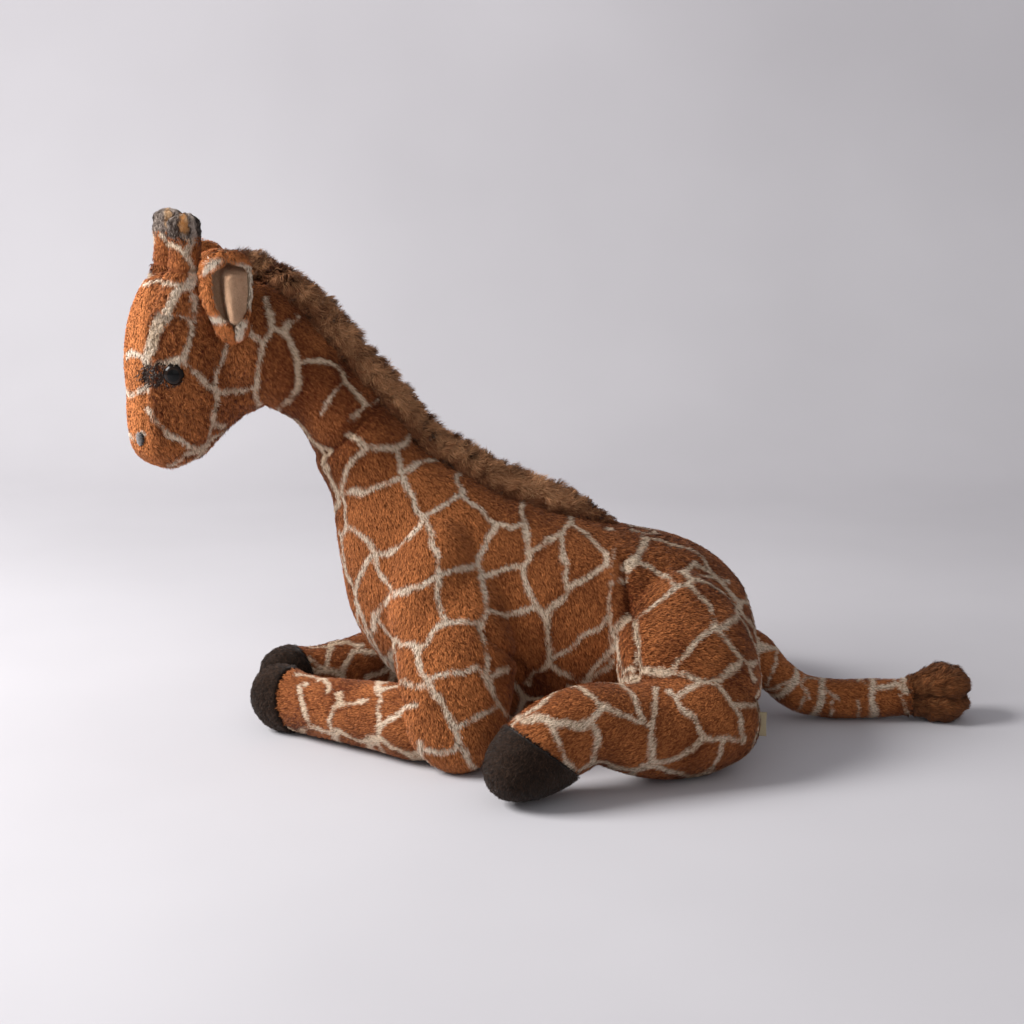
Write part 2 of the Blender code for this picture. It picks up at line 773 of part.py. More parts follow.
def ear_leaf(name, side, back, front, trim):
    """A cupped leaf bent along its length, from a depth of back to a depth of front.

    Trim is how many rows and columns of the grid are left off at each edge.
    """
    points = [Vector((0, side * out * EAR_LENGTH, up * EAR_LENGTH))
              for out, up, _, _ in EAR_SHARES]
    form = bmesh.new()
    layers = []
    for depth in (back, front):
        grid = []
        for index in range(trim, len(points) - trim):
            before = points[max(index - 1, 0)]
            after = points[min(index + 1, len(points) - 1)]
            along = (after - before).normalized()
            outward = Vector((0, -along.z, along.y)) * -side
            _, _, width, wrap_share = EAR_SHARES[index]
            wrap = EAR_WRAP * wrap_share
            curve = EAR_WIDTH / 2 * width / math.sin(wrap)
            radius = curve - depth
            line = []
            for column in range(trim, EAR_COLUMNS + 1 - trim):
                turn = wrap * (2 * column / EAR_COLUMNS - 1)
                line.append(form.verts.new(
                    points[index] + outward * (curve - radius * math.cos(turn))
                    + Vector((radius * math.sin(turn), 0, 0))))
            grid.append(line)
        layers.append(grid)
    low, high = layers
    last = len(low) - 1
    columns = len(low[0]) - 1
    for i in range(last):
        for j in range(columns):
            for grid in layers:
                form.faces.new((grid[i][j], grid[i + 1][j], grid[i + 1][j + 1]))
                form.faces.new((grid[i][j], grid[i + 1][j + 1], grid[i][j + 1]))
        for j in (0, columns):
            form.faces.new((low[i][j], low[i + 1][j], high[i + 1][j], high[i][j]))
    for i in (0, last):
        for j in range(columns):
            form.faces.new((low[i][j], low[i][j + 1], high[i][j + 1], high[i][j]))
    return finish_mesh(name, form)


def make_ears(parent, pose, head_tool, neck_tool):
    """Each ear is a plush leaf with a velour lining, hung from the top of the head."""
    ahead, lift_share = EAR_ROOT_SHARES
    _, _, broad = head_section(lift_share)
    flank = math.sqrt(1 - ahead**2)
    joints = {}
    for side, name in SIDES:
        foot = Vector((-ahead * HEAD_DEPTH, side * broad * flank,
                       lift_share * HEAD_HEIGHT))
        place = pose @ foot
        joint = empty("ear_joint_" + name, place, parent)
        at_root = pose @ Matrix.Translation(foot)
        cloth = ear_leaf("ear_" + name, side, 0, EAR_CLOTH, 0)
        lining_back = EAR_CLOTH + EAR_SEAM_GAP
        lining = ear_leaf("ear_lining_" + name, side, lining_back,
                          lining_back + EAR_LINING, 1)
        ear = add("ear_" + name, cloth, plush(), joint, at_root)
        cut(ear, head_tool, neck_tool)
        add("ear_lining_" + name, lining, ear_velour(), joint, at_root)
        joints["ear_" + name] = place
    return joints


def back_line(stations):
    """Points along the top of a spine."""
    line = []
    for index, (centre, tall, _) in enumerate(stations):
        before = stations[max(index - 1, 0)][0]
        after = stations[min(index + 1, len(stations) - 1)][0]
        along = (after - before).normalized()
        up = Vector((0, 1, 0)).cross(along)
        if up.z < 0:
            up = -up
        line.append(centre + up * tall)
    return line


def crown_line(pose):
    """Points up the back of the head and over its crown."""
    line = []
    for lift_share in MANE_CROWN_SHARES:
        middle, deep, _ = head_section(lift_share)
        line.append(pose @ Vector((middle + deep, 0, lift_share * HEAD_HEIGHT)))
    return line


def read_line(points, start, end, count):
    """Points between two shares of a line's length."""
    rows = np.array([tuple(point) for point in points])
    steps = np.concatenate(([0.0], np.cumsum(np.linalg.norm(np.diff(rows, axis=0), axis=1))))
    places = np.linspace(start, end, count) * steps[-1]
    return [Vector([float(np.interp(place, steps, rows[:, axis])) for axis in range(3)])
            for place in places]


def make_mane(name, parent, points, tools):
    """A ridge of long pile that stands on the neck or the back."""
    stations = []
    for point, share in zip(points, np.linspace(*MANE_FADE_SHARES, len(points))):
        fade = math.sqrt(math.sin(math.pi * share))
        stations.append((point, MANE_HEIGHT * fade, MANE_WIDTH / 2 * fade))
    mesh = loft_mesh(name, stations, Vector((0, 1, 0)), LIMB_RINGS, SMALL_SIDES)
    mane = add(name, mesh, long_pile(), parent)
    cut(mane, *tools)
    return mane


def leg_stations(joint, heading, length, thickness, rows, hoof_size, hoof_rows):
    """A lying leg's spine along the floor, from its knuckle to its toe."""
    hoof_length, hoof_height, hoof_width = hoof_size
    stations = []
    for along, lift, tall, broad in rows:
        centre = joint + heading * along * length
        centre.z = lift * thickness
        stations.append((centre, tall * thickness, broad * thickness))
    for along, lift, tall, broad in hoof_rows:
        centre = joint + heading * (length + along * hoof_length)
        centre.z = lift * hoof_height
        stations.append((centre, tall * hoof_height, broad * hoof_width))
    return knuckle(stations)


def make_leg(name, hoof_name, parent, joint, heading, length, thickness, rows,
             hoof_size, hoof_rows, seam_shares, seam_tilt, tools):
    """A lying leg and its hoof, one form parted at the hoof's seam."""
    stations = leg_stations(joint, heading, length, thickness, rows, hoof_size, hoof_rows)
    across = Vector((-heading.y, heading.x, 0))
    whole = loft_mesh(name + "_whole", stations, across, LIMB_RINGS, LIMB_SIDES)
    whole.transform(Matrix.Translation((0, 0, resting(whole))))
    tool = grown(whole, GAP)
    flatten(whole)
    seam_along, seam_lift = seam_shares
    seam = joint + heading * (length + seam_along * hoof_size[0])
    seam.z = seam_lift * hoof_size[1]
    toward = heading * math.cos(seam_tilt) - Vector((0, 0, math.sin(seam_tilt)))
    cloth = half_of(whole, name, seam - toward * GAP / 2, toward)
    hoof = half_of(whole, hoof_name, seam + toward * GAP / 2, -toward)
    cut(add(name, cloth, plush(), parent), *tools)
    add(hoof_name, hoof, hoof_velour(), parent)
    return whole, tool


def limb_root_stations(top, out_way, length, width, height, rows):
    """A haunch's or shoulder's spine, from its top down and out."""
    return [(top + Vector((back * length, 0, -down * height)) + out_way * out * width,
             broad * width, long * length)
            for back, out, down, long, broad in rows]


def make_haunch(name, side, root, top, size, rows, tools, on_floor):
    length, width, height = size
    stations = limb_root_stations(top, Vector((0, side, 0)), length, width, height, rows)
    mesh = loft_mesh(name, stations, Vector((1, 0, 0)), LIMB_RINGS, LIMB_SIDES)
    if on_floor:
        mesh.transform(Matrix.Translation((0, 0, resting(mesh))))
        flatten(mesh)
    piece = add(name, mesh, plush(), root)
    cut(piece, *tools)


def label_mesh(knuckle_place):
    """A blank tab of folded tape, sewn upright into the hind leg's rear seam."""
    start = SHANK_THICKNESS / 4
    end = SHANK_THICKNESS / 2 + LABEL_REACH
    middle = LABEL_LIFT_SHARE * SHANK_THICKNESS - knuckle_place.z
    low = middle - LABEL_HEIGHT / 2
    high = middle + LABEL_HEIGHT / 2
    mesh = prism_mesh("label", [(start, low), (end, low), (end, high), (start, high)],
                      LABEL_THICKNESS / 2)
    mesh.transform(Matrix.Translation(knuckle_place) @ Matrix.Rotation(LABEL_TURN, 4, "Z"))
    return mesh


def make_hind_leg(side, name, root, seat, torso_tool):
    """A haunch over a shank that swings out on its knuckle."""
    radius = SHANK_THICKNESS / 2
    along, out = HOCK_SHARES
    place = on_body((along, out, 0), 0, side)
    place.z = radius
    joint = empty("shank_joint_" + name, place, root)
    heading = Vector((-math.cos(SHANK_SPLAY), side * math.sin(SHANK_SPLAY), 0))
    hoof_size = (HIND_HOOF_LENGTH, HIND_HOOF_HEIGHT, HIND_HOOF_WIDTH)
    whole, tool = make_leg("shank_" + name, "hind_hoof_" + name, joint, place, heading,
                           SHANK_LENGTH, SHANK_THICKNESS, SHANK_SHARES, hoof_size,
                           HIND_HOOF_SHARES, SHANK_SEAM_SHARES, SHANK_SEAM_TILT,
                           [torso_tool])
    tab = label_mesh(place)
    moving = [whole, tab] if side == LEFT else [whole]
    room = swept(moving, place, "Z", -side * SHANK_SWING, THIGH_LENGTH)
    if side == LEFT:
        cut(add("label", tab, label_cloth(), joint), cutter("shank_left", tool, joint))
    room_tool = cutter("shank_room_" + name, room, root)
    make_haunch("haunch_" + name, side, root, on_body(HIP_SHARES, seat, side),
                (THIGH_LENGTH, THIGH_WIDTH, THIGH_HEIGHT), THIGH_SHARES,
                [torso_tool, room_tool], False)
    return place


def make_fore_leg(side, name, root, seat, torso_tool):
    """A shoulder over a foreleg that swings out on its knuckle."""
    radius = FORELEG_THICKNESS / 2
    along, out = ELBOW_SHARES
    place = on_body((along, out, 0), 0, side)
    place.z = radius
    joint = empty("foreleg_joint_" + name, place, root)
    hoof_out = (FRONT_HOOF_WIDTH + FRONT_HOOF_SPACE) / 2
    inward = abs(place.y) - hoof_out
    heading = Vector((-math.sqrt(FORELEG_LENGTH**2 - inward**2), -side * inward, 0))
    heading.normalize()
    hoof_size = (FRONT_HOOF_LENGTH, FRONT_HOOF_HEIGHT, FRONT_HOOF_WIDTH)
    whole, _ = make_leg("foreleg_" + name, "front_hoof_" + name, joint, place, heading,
                        FORELEG_LENGTH, FORELEG_THICKNESS, FORELEG_SHARES, hoof_size,
                        FRONT_HOOF_SHARES, FORELEG_SEAM_SHARES, FORELEG_SEAM_TILT,
                        [torso_tool])
    room = swept([whole], place, "Z", -side * FORELEG_SWING, SHOULDER_LENGTH)
    room_tool = cutter("foreleg_room_" + name, room, root)
    make_haunch("shoulder_" + name, side, root, on_body(SHOULDER_TOP_SHARES, seat, side),
                (SHOULDER_LENGTH, SHOULDER_WIDTH, SHOULDER_HEIGHT), SHOULDER_SHARES,
                [torso_tool, room_tool], True)
    return place


def make_tail(root, seat):
    """A tail that lies on the floor, lifts on its knuckle and ends in a tuft."""
    start = on_body((TAIL_ROOT_SHARE, 0, 0), 0)
    stations = [(start + Vector((along * TAIL_LENGTH, 0, lift * TAIL_THICKNESS)),
                 tall * TAIL_THICKNESS, broad * TAIL_THICKNESS)
                for along, lift, tall, broad in TAIL_SHARES]
    seam = stations[-1][0]
    stations += [(Vector((seam.x + along * TUFT_LENGTH, 0, lift * TUFT_HEIGHT)),
                  tall * TUFT_HEIGHT, broad * TUFT_WIDTH)
                 for along, lift, tall, broad in TUFT_SHARES]
    whole = loft_mesh("tail_whole", knuckle(stations), Vector((0, 1, 0)), TAIL_RINGS,
                      SMALL_SIDES)
    drop = resting(whole)
    whole.transform(Matrix.Translation((0, 0, drop)))
    place = stations[0][0] + Vector((0, 0, drop))
    room = swept([whole], place, "Y", -TAIL_LIFT, TAIL_THICKNESS)
    flatten(whole)
    joint = empty("tail_joint", place, root)
    back = Vector((1, 0, 0))
    add("tail", half_of(whole, "tail", seam - back * GAP / 2, back), plush(), joint)
    tuft = half_of(whole, "tail_tuft", seam + back * GAP / 2, -back)
    add("tail_tuft", tuft, long_pile(), joint)
    return place, cutter("tail_room", room, root)


def centre_on_floor(root):
    """Move the whole toy so that its box stands centred on the origin."""
    bpy.context.view_layer.update()
    graph = bpy.context.evaluated_depsgraph_get()
    lows = []
    highs = []
    for item in bpy.data.objects:
        if item.type != "MESH" or item.hide_render:
            continue
        shown = item.evaluated_get(graph)
        corners = np.array([tuple(shown.matrix_world @ vert.co)
                            for vert in shown.data.vertices])
        lows.append(corners.min(axis=0))
        highs.append(corners.max(axis=0))
    middle = (np.min(lows, axis=0) + np.max(highs, axis=0)) / 2
    root.location = (-middle[0], -middle[1], -np.min(lows, axis=0)[2])


def build():
    for item in list(bpy.data.objects):
        bpy.data.objects.remove(item)
    root = empty("giraffe", (0, 0, 0))
    torso, torso_tool, stations, seat = make_torso(root)
    seam = stations[-1][0]
    ball = seam_ball(stations)
    joints = {"head": ball[0]}

    head_joint = empty("head_joint", ball[0], root)
    spine = neck_stations(seam)
    pose = head_frame(seam + neck_way() * NECK_LENGTH)
    head_tool = make_head(head_joint, pose)
    neck_tool, neck_hollow = make_upper_neck(head_joint, ball, spine, head_tool)
    make_nostrils(head_joint, pose, head_tool)
    make_horns(head_joint, pose, head_tool)
    joints.update(make_ears(head_joint, pose, head_tool, neck_tool))

    upper_line = [*back_line(spine)[:MANE_NECK_STATIONS], *crown_line(pose)]
    upper_line = read_line(upper_line, 0, 1, LIMB_RINGS)
    make_mane("mane_neck", head_joint, upper_line, [head_tool, neck_tool, neck_hollow])
    lower_line = read_line(back_line(stations)[::-1], MANE_START_SHARE, MANE_END_SHARE,
                           LIMB_RINGS)
    make_mane("mane_back", root, lower_line, [torso_tool])

    for side, name in SIDES:
        joints["shank_" + name] = make_hind_leg(side, name, root, seat, torso_tool)
        joints["foreleg_" + name] = make_fore_leg(side, name, root, seat, torso_tool)
    joints["tail"], tail_room = make_tail(root, seat)
    cut(torso, tail_room)
    centre_on_floor(root)
    for name, place in joints.items():
        print("joint", name, [round(value, 5) for value in place + root.location])


build()
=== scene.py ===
"""Looks of a lying plush giraffe: its cloth skins, its pile, its mane and the plain studio round it.

Every length is in metres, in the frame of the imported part: the nose points to -X, the
left side faces -Y and Z is up.  Places given in pixels belong to the photograph's
1024 x 1024 frame and are carried onto the skins by rays from the camera.
"""

import math

import bmesh
import bpy
import numpy as np
from mathutils import Matrix, Vector
from mathutils.bvhtree import BVHTree
from mathutils.kdtree import KDTree


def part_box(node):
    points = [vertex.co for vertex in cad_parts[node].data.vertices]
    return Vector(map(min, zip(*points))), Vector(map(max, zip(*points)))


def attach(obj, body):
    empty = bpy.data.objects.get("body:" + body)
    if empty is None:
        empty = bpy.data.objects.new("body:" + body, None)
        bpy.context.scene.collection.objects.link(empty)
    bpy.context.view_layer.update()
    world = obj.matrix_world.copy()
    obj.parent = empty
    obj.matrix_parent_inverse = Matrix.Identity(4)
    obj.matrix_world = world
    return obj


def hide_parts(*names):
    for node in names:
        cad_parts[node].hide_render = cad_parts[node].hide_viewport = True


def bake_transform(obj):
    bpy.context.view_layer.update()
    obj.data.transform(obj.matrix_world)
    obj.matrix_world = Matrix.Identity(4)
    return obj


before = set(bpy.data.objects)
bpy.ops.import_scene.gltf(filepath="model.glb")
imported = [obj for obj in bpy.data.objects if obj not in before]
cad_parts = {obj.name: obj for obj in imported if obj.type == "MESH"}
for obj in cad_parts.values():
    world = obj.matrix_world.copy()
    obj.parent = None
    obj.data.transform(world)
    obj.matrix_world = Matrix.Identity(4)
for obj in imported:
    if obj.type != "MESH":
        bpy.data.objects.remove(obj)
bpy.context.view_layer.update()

# Camera
PICTURE = 1024
CAMERA_PLACE = Vector((-0.0377, -1.7134, 0.5743))
CAMERA_PITCH = math.radians(12.5)
CAMERA_LENS = 68.55
SENSOR = 36.0

# Where the shoulders run smoothly into the chest: x, y and z, and how far round it
SOFT_SPOTS = (
    (-0.128, 0.085, 0.105, 0.032),
    (-0.128, 0.080, 0.150, 0.032),
    (-0.120, 0.060, 0.190, 0.028),
)
SOFTEN_PASSES = 90

# Cloth and pile
PILE_DEPTH = 0.0024         # how far the cloth lies inside the solid's surface
VOXEL = 0.0026
LINE_HALVES = {0: 0.0015, 1: 0.0026, 2: 0.0037, 3: 0.0050}    # half widths of the cream lines by class
JOINT_HALF = 0.0034         # half width where lines meet
LINE_EDGE = 0.0014          # how softly a cream line ends
LINE_FRAY = 0.0006          # how far single strands stray over a line's edge
LINE_STEP = 1.5             # pixels between the places read along a line
LINE_BREAK = 0.028          # a longer jump between two places isn't part of the line
CREASE_REACH = 0.0055
CREASE_DEPTH = 0.0048       # a crease this deep gets the full painted shade in its pile
FLOOR_REST = 0.0012

# The neck's seam, and how far the bend round it reaches
NECK_SEAM = Vector((-0.1781, 0.0, 0.2686))
NECK_WAY = Vector((-0.491, 0.0, 0.871))

HEAD_POSE = Matrix.Translation((-0.32351, 0.0, 0.23735)) @ Matrix.Rotation(math.radians(20), 4, "Z")

# Spines: x, y, z, half height and half width
TORSO = (
    (0.1840, 0, 0.0611, 0, 0),
    (0.1698, 0, 0.0652, 0.0383, 0.0446),
    (0.1415, 0, 0.0745, 0.0684, 0.0763),
    (0.0985, 0, 0.0857, 0.0864, 0.0911),
    (0.0530, 0, 0.0910, 0.0920, 0.0930),
    (0.0020, 0, 0.0975, 0.0982, 0.0921),
    (-0.0537, 0, 0.1078, 0.1047, 0.0883),
    (-0.0944, 0, 0.1387, 0.0995, 0.0800),
    (-0.1308, 0, 0.1882, 0.0733, 0.0642),
    (-0.1570, 0, 0.2312, 0.0490, 0.0465),
    (-0.1781, 0, 0.2686, 0.0400, 0.0400),
    (-0.1855, 0, 0.2817, 0.0218, 0.0218),
    (-0.1880, 0, 0.2860, 0, 0),
)
NECK = (
    (-0.1600, 0, 0.2440, 0.0400, 0.0390),
    (-0.1764, 0, 0.2671, 0.0404, 0.0400),
    (-0.2039, 0, 0.3027, 0.0372, 0.0368),
    (-0.2389, 0, 0.3331, 0.0456, 0.0400),
    (-0.2685, 0, 0.3556, 0.0496, 0.0416),
    (-0.2941, 0, 0.3651, 0.0352, 0.0320),
    (-0.3103, 0, 0.3729, 0, 0),
)
HEAD = (
    (0.0091, 0, 0.1865, 0, 0),
    (0.0160, 0, 0.1765, 0.0276, 0.0235),
    (0.0152, 0, 0.1620, 0.0442, 0.0367),
    (0.0066, 0, 0.1347, 0.0559, 0.0469),
    (-0.0012, 0, 0.0919, 0.0578, 0.0510),
    (-0.0083, 0, 0.0619, 0.0514, 0.0459),
    (-0.0189, 0, 0.0320, 0.0408, 0.0377),
    (-0.0242, 0, 0.0137, 0.0307, 0.0306),
    (-0.0260, 0, -0.0009, 0, 0),
)
HAUNCH = (
    (0.1080, -0.0385, 0.1446, 0, 0),
    (0.1092, -0.0577, 0.1331, 0.0269, 0.0360),
    (0.1116, -0.0865, 0.1049, 0.0413, 0.0564),
    (0.1140, -0.1133, 0.0767, 0.0480, 0.0618),
    (0.1188, -0.1306, 0.0511, 0.0442, 0.0552),
    (0.1236, -0.1383, 0.0281, 0, 0),
)
SHOULDER = (
    (-0.0951, -0.0362, 0.1717, 0, 0),
    (-0.0932, -0.0558, 0.1549, 0.0252, 0.0353),
    (-0.0883, -0.0824, 0.1146, 0.0350, 0.0490),
    (-0.0853, -0.1076, 0.0776, 0.0378, 0.0510),
    (-0.0853, -0.1258, 0.0491, 0.0350, 0.0470),
    (-0.0834, -0.1398, 0.0272, 0.0301, 0.0412),
    (-0.0814, -0.1496, -0.0005, 0, 0),
)
CHEST = (
    (-0.1000, -0.0300, 0.2050, 0, 0),
    (-0.1030, -0.0480, 0.1750, 0.0360, 0.0360),
    (-0.1040, -0.0620, 0.1400, 0.0420, 0.0420),
    (-0.1010, -0.0740, 0.1000, 0.0440, 0.0430),
    (-0.0970, -0.0840, 0.0600, 0.0400, 0.0380),
    (-0.0940, -0.0900, 0.0280, 0, 0),
)
SHANK = (
    (0.1694, -0.1207, 0.0458, 0, 0),
    (0.1578, -0.1263, 0.0458, 0.0311, 0.0311),
    (0.1298, -0.1400, 0.0458, 0.0440, 0.0440),
    (0.0788, -0.1648, 0.0458, 0.0425, 0.0405),
    (0.0479, -0.1799, 0.0537, 0.0365, 0.0361),
    (0.0344, -0.1865, 0.0588, 0.0340, 0.0340),
    (0.0082, -0.1993, 0.0540, 0.0371, 0.0301),
    (-0.0162, -0.2112, 0.0418, 0.0365, 0.0320),
    (-0.0338, -0.2198, 0.0326, 0.0302, 0.0307),
    (-0.0496, -0.2275, 0.0273, 0.0197, 0.0218),
    (-0.0578, -0.2315, 0.0262, 0, 0),
)
FORELEG = (
    (-0.0867, -0.1316, 0.0323, 0, 0),
    (-0.0946, -0.1266, 0.0323, 0.0226, 0.0226),
    (-0.1137, -0.1144, 0.0323, 0.0320, 0.0320),
    (-0.1468, -0.0933, 0.0323, 0.0314, 0.0314),
    (-0.1799, -0.0722, 0.0304, 0.0291, 0.0294),
    (-0.2117, -0.0519, 0.0285, 0.0275, 0.0272),
    (-0.2284, -0.0413, 0.0287, 0.0278, 0.0255),
    (-0.2410, -0.0332, 0.0299, 0.0299, 0.0265),
    (-0.2524, -0.0260, 0.0293, 0.0284, 0.0255),
    (-0.2621, -0.0198, 0.0270, 0.0203, 0.0187),
    (-0.2680, -0.0160, 0.0258, 0, 0),
)
TAIL = (
    (0.1676, 0, 0.0820, 0, 0),
    (0.1712, 0, 0.0779, 0.0132, 0.0132),
    (0.1800, 0, 0.0681, 0.0186, 0.0186),
    (0.2054, 0, 0.0400, 0.0186, 0.0182),
    (0.2262, 0, 0.0248, 0.0190, 0.0182),
    (0.2501, 0, 0.0195, 0.0190, 0.0182),
    (0.2918, 0, 0.0191, 0.0190, 0.0182),
    (0.3290, 0, 0.0210, 0.0190, 0.0182),
    (0.3405, 0, 0.0232, 0.0216, 0.0220),
    (0.3576, 0, 0.0247, 0.0250, 0.0250),
    (0.3732, 0, 0.0247, 0.0182, 0.0190),
    (0.3810, 0, 0.0242, 0, 0),
)
HORN = (
    (-0.0100, -0.0330, 0.1420, 0.0270, 0.0210),
    (-0.0090, -0.0345, 0.1600, 0.0200, 0.0180),
    (-0.0075, -0.0360, 0.1780, 0.0165, 0.0158),
    (-0.0070, -0.0360, 0.1920, 0.0150, 0.0150),
    (-0.0070, -0.0360, 0.2150, 0.0146, 0.0146),
    (-0.0070, -0.0360, 0.2225, 0.0118, 0.0118),
    (-0.0070, -0.0360, 0.2262, 0, 0),
)
THROAT = (
    (-0.3220, 0.004, 0.2680, 0, 0),
    (-0.3105, 0.006, 0.2815, 0.0205, 0.0270),
    (-0.2862, 0.010, 0.3025, 0.0230, 0.0300),
    (-0.2655, 0.008, 0.3122, 0.0220, 0.0290),
    (-0.2500, 0.004, 0.3250, 0, 0),
)
HORN_TIP_FROM = 0.2000
HORN_TIP = (
    (-0.0070, 0.036, 0.1930, 0, 0),
    (-0.0070, 0.036, 0.1970, 0.0104, 0.0104),
    (-0.0070, 0.036, 0.2040, 0.0124, 0.0124),
    (-0.0070, 0.036, 0.2130, 0.0124, 0.0124),
    (-0.0070, 0.036, 0.2200, 0.0108, 0.0108),
    (-0.0070, 0.036, 0.2242, 0, 0),
)
EYE_PLACES = ((-0.3285, -0.0520, 0.3265), (-0.3607, 0.0366, 0.3265))
EYE_RADIUS = 0.0094
EYE_BULGE = 0.0062
EYE_SINK = 0.0026
EYE_RINGS = 20
EYE_SIDES = 48
NOSE_PLACES = ((-0.3652, -0.0365, 0.2637), (-0.3789, 0.0012, 0.2637))
NOSE_SHIFT = Vector((0.0016, 0.0, 0.0036))
NOSE_HALF = (0.0042, 0.0062)
NOSE_STITCHES = 10
STITCH_STEPS = 9
STITCH_SIDES = 8
KNEE_WAY = Vector((-0.8988, -0.4384, 0.0))
HIND_SEAM = (Vector((-0.0093, -0.2078, 0.0394)), Vector((-0.5777, -0.2818, -0.766)))
ELBOW_WAY = Vector((-0.8433, 0.5375, 0.0))
FORE_SEAM = (Vector((-0.2335, -0.0381, 0.029)), Vector((-0.8304, 0.5293, -0.1736)))
TAIL_SEAM = (Vector((0.3290, 0, 0.021)), Vector((1, 0, 0)))
TUFT_SEAM = (Vector((0.3245, 0, 0.021)), Vector((1, 0, 0)))
MANE_UPPER = (
    (-0.1441, 0.0, 0.2921), (-0.1624, 0.0, 0.3123), (-0.1805, 0.0, 0.3326),
    (-0.1979, 0.0, 0.3537), (-0.2161, 0.0, 0.3739), (-0.2364, 0.0, 0.3921),
    (-0.2566, 0.0118, 0.3990), (-0.2761, 0.0173, 0.4088), (-0.2991, 0.0089, 0.4193),
)
MANE_LOWER = (
    (0.0542, 0.0, 0.1849), (0.0334, 0.0, 0.1903), (0.0127, 0.0, 0.1960),
    (-0.0077, 0.0, 0.2026), (-0.0278, 0.0, 0.2099), (-0.0473, 0.0, 0.2189),
    (-0.0669, 0.0, 0.2278), (-0.0854, 0.0, 0.2385), (-0.1038, 0.0, 0.2495),
    (-0.1206, 0.0, 0.2626), (-0.1348, 0.0, 0.2787),
)

# Ears, in the head's frame
EAR_ROWS = 56
EAR_TURNS = 48
EAR_TOP = 0.1955
EAR_HEIGHT = 0.0785
EAR_MIDDLE = 0.0240
EAR_HALF = 0.0215
EAR_DEEP = 0.0120
EAR_BACK = 0.0395           # how far out its back lies
EAR_HOOD = 0.22             # share of its height over which its top closes
EAR_END = 0.80              # share of its height from which its tip rounds off
EAR_CLOTH = 0.0020

# Strands, and the fibres of the mane, the tuft and the horns
MAP_COLUMNS = 640
BODY_STRANDS = 690000
SHANK_STRANDS = 76000
FORELEG_STRANDS = 52000
TAIL_STRANDS = 30000
HOOF_STRANDS = 24000
MANE_STRANDS = 110000
MANE_LENGTH = 0.0135
MANE_CORE_HEIGHT = 0.0130
MANE_CORE_HALF = 0.0080
TUFT_STRANDS = 42000
TUFT_PARTING = 0.0255
TUFT_CLEFT = 0.0065         # how deep the parting is
TIP_STRANDS = 16000
EAR_STRANDS = 34000
EAR_NAP = 26000
LABEL_SHARE = 0.52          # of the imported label's height
LABEL_BOW = 0.0022
LABEL_GRID = 9              # places along each edge
LABEL_THICK = 0.0008
LASH_STRANDS = 9000
LASH_MIDDLE = (160, 374)    # pixels
LASH_SPREAD = (6.2, 4.4)
LASH_RING = 9.6             # pixels from the eye's middle
LASH_RING_SHARE = 0.30
EYE_CLEAR = 8.2             # pixels around the eye's middle without a root
EYE_PIXEL = (174, 374)

# Middles of the patches on the near side, in the photograph's pixels
HEAD_PATCHES = (
    (155, 310), (133, 366), (132, 415), (172, 340), (210, 345), (188, 412), (176, 452),
    (165, 262), (176, 275),
)
BODY_PATCHES = (
    (237, 364), (278, 372), (236, 406), (318, 394), (257, 313), (316, 339), (280, 311),
    (339, 404), (331, 425), (375, 425), (345, 455), (373, 470),
    (342, 412), (348, 455), (415, 453), (433, 485), (383, 518), (458, 534), (488, 506),
    (545, 524), (591, 532), (356, 550), (409, 564), (504, 550), (545, 576), (585, 557),
    (460, 594), (506, 595), (375, 580), (409, 613), (583, 605), (336, 508), (381, 638),
    (407, 665), (453, 648), (461, 697), (436, 728), (451, 762), (489, 739), (516, 640),
    (502, 659), (506, 695), (424, 695), (584, 644), (552, 683),
    (625, 540), (619, 602), (629, 649), (654, 581), (670, 557), (674, 634), (707, 598),
    (715, 567), (739, 636), (711, 657), (741, 683), (674, 679), (713, 712), (745, 718),
    (674, 728), (699, 755), (733, 755),
    (578, 706), (601, 689), (625, 698), (645, 700), (621, 740), (576, 740), (543, 728),
    (308, 678), (293, 707), (320, 703), (356, 684), (348, 699), (352, 716), (394, 707),
    (407, 728), (320, 733), (377, 749),
)
PATCH_APART = 0.036         # between two patches that the picture doesn't show
EDGE_BLEND = 0.0014
PATCH_RIM = 0.0065          # how far a patch's darker edge reaches in

# How much darker the pile is painted in some places, or how much lighter below 0; most of it is
# painted shade and painted light
RIM_SHADE = 0.12            # at a patch's edge
# Painted shade in the creases
CREASE_SHADE = 0.35
# Painted light on the face's front and the chest, painted shade on the neck's sides and the rump, each
# matched to how that part is lit
FACE_SHADE = -0.46
NECK_SHADE = 0.27
CHEST_SHADE = -0.17
RUMP_SHADE = 0.10
# Painted light on the tail and the ears, painted shade on the forelegs' pile
TAIL_SHADE = -0.10
EAR_SHADE = -0.45
LIMB_SHADES = {"shank": 0.0, "foreleg": 0.13}
ARMPIT = ((536, 676), (545, 694))    # pixels, between the foreleg's root and the belly, where a shadow is painted
ARMPIT_SHADE = 0.35
ARMPIT_REACH = 0.020
LASH_SHADE = 0.7            # under the lashes
LASH_SHADE_REACH = 0.0085

# The way the pile lies
FLANK_FLOW = (0.30, 0.0, -0.90)
RUMP_FLOW = (0.90, 0.0, -0.35)
NECK_FLOW = (0.62, 0.0, -0.60)
FACE_FLOW = (0.25, 0.0, -0.95)
HORN_FLOW = (0.1, 0.0, 1.0)

# Where the body's pile parts into pieces
NECK_PILE_FROM = -0.07      # along the neck, from its seam
CHEST_END = -0.055
RUMP_START = 0.055
HEAD_MIDDLE = -0.012

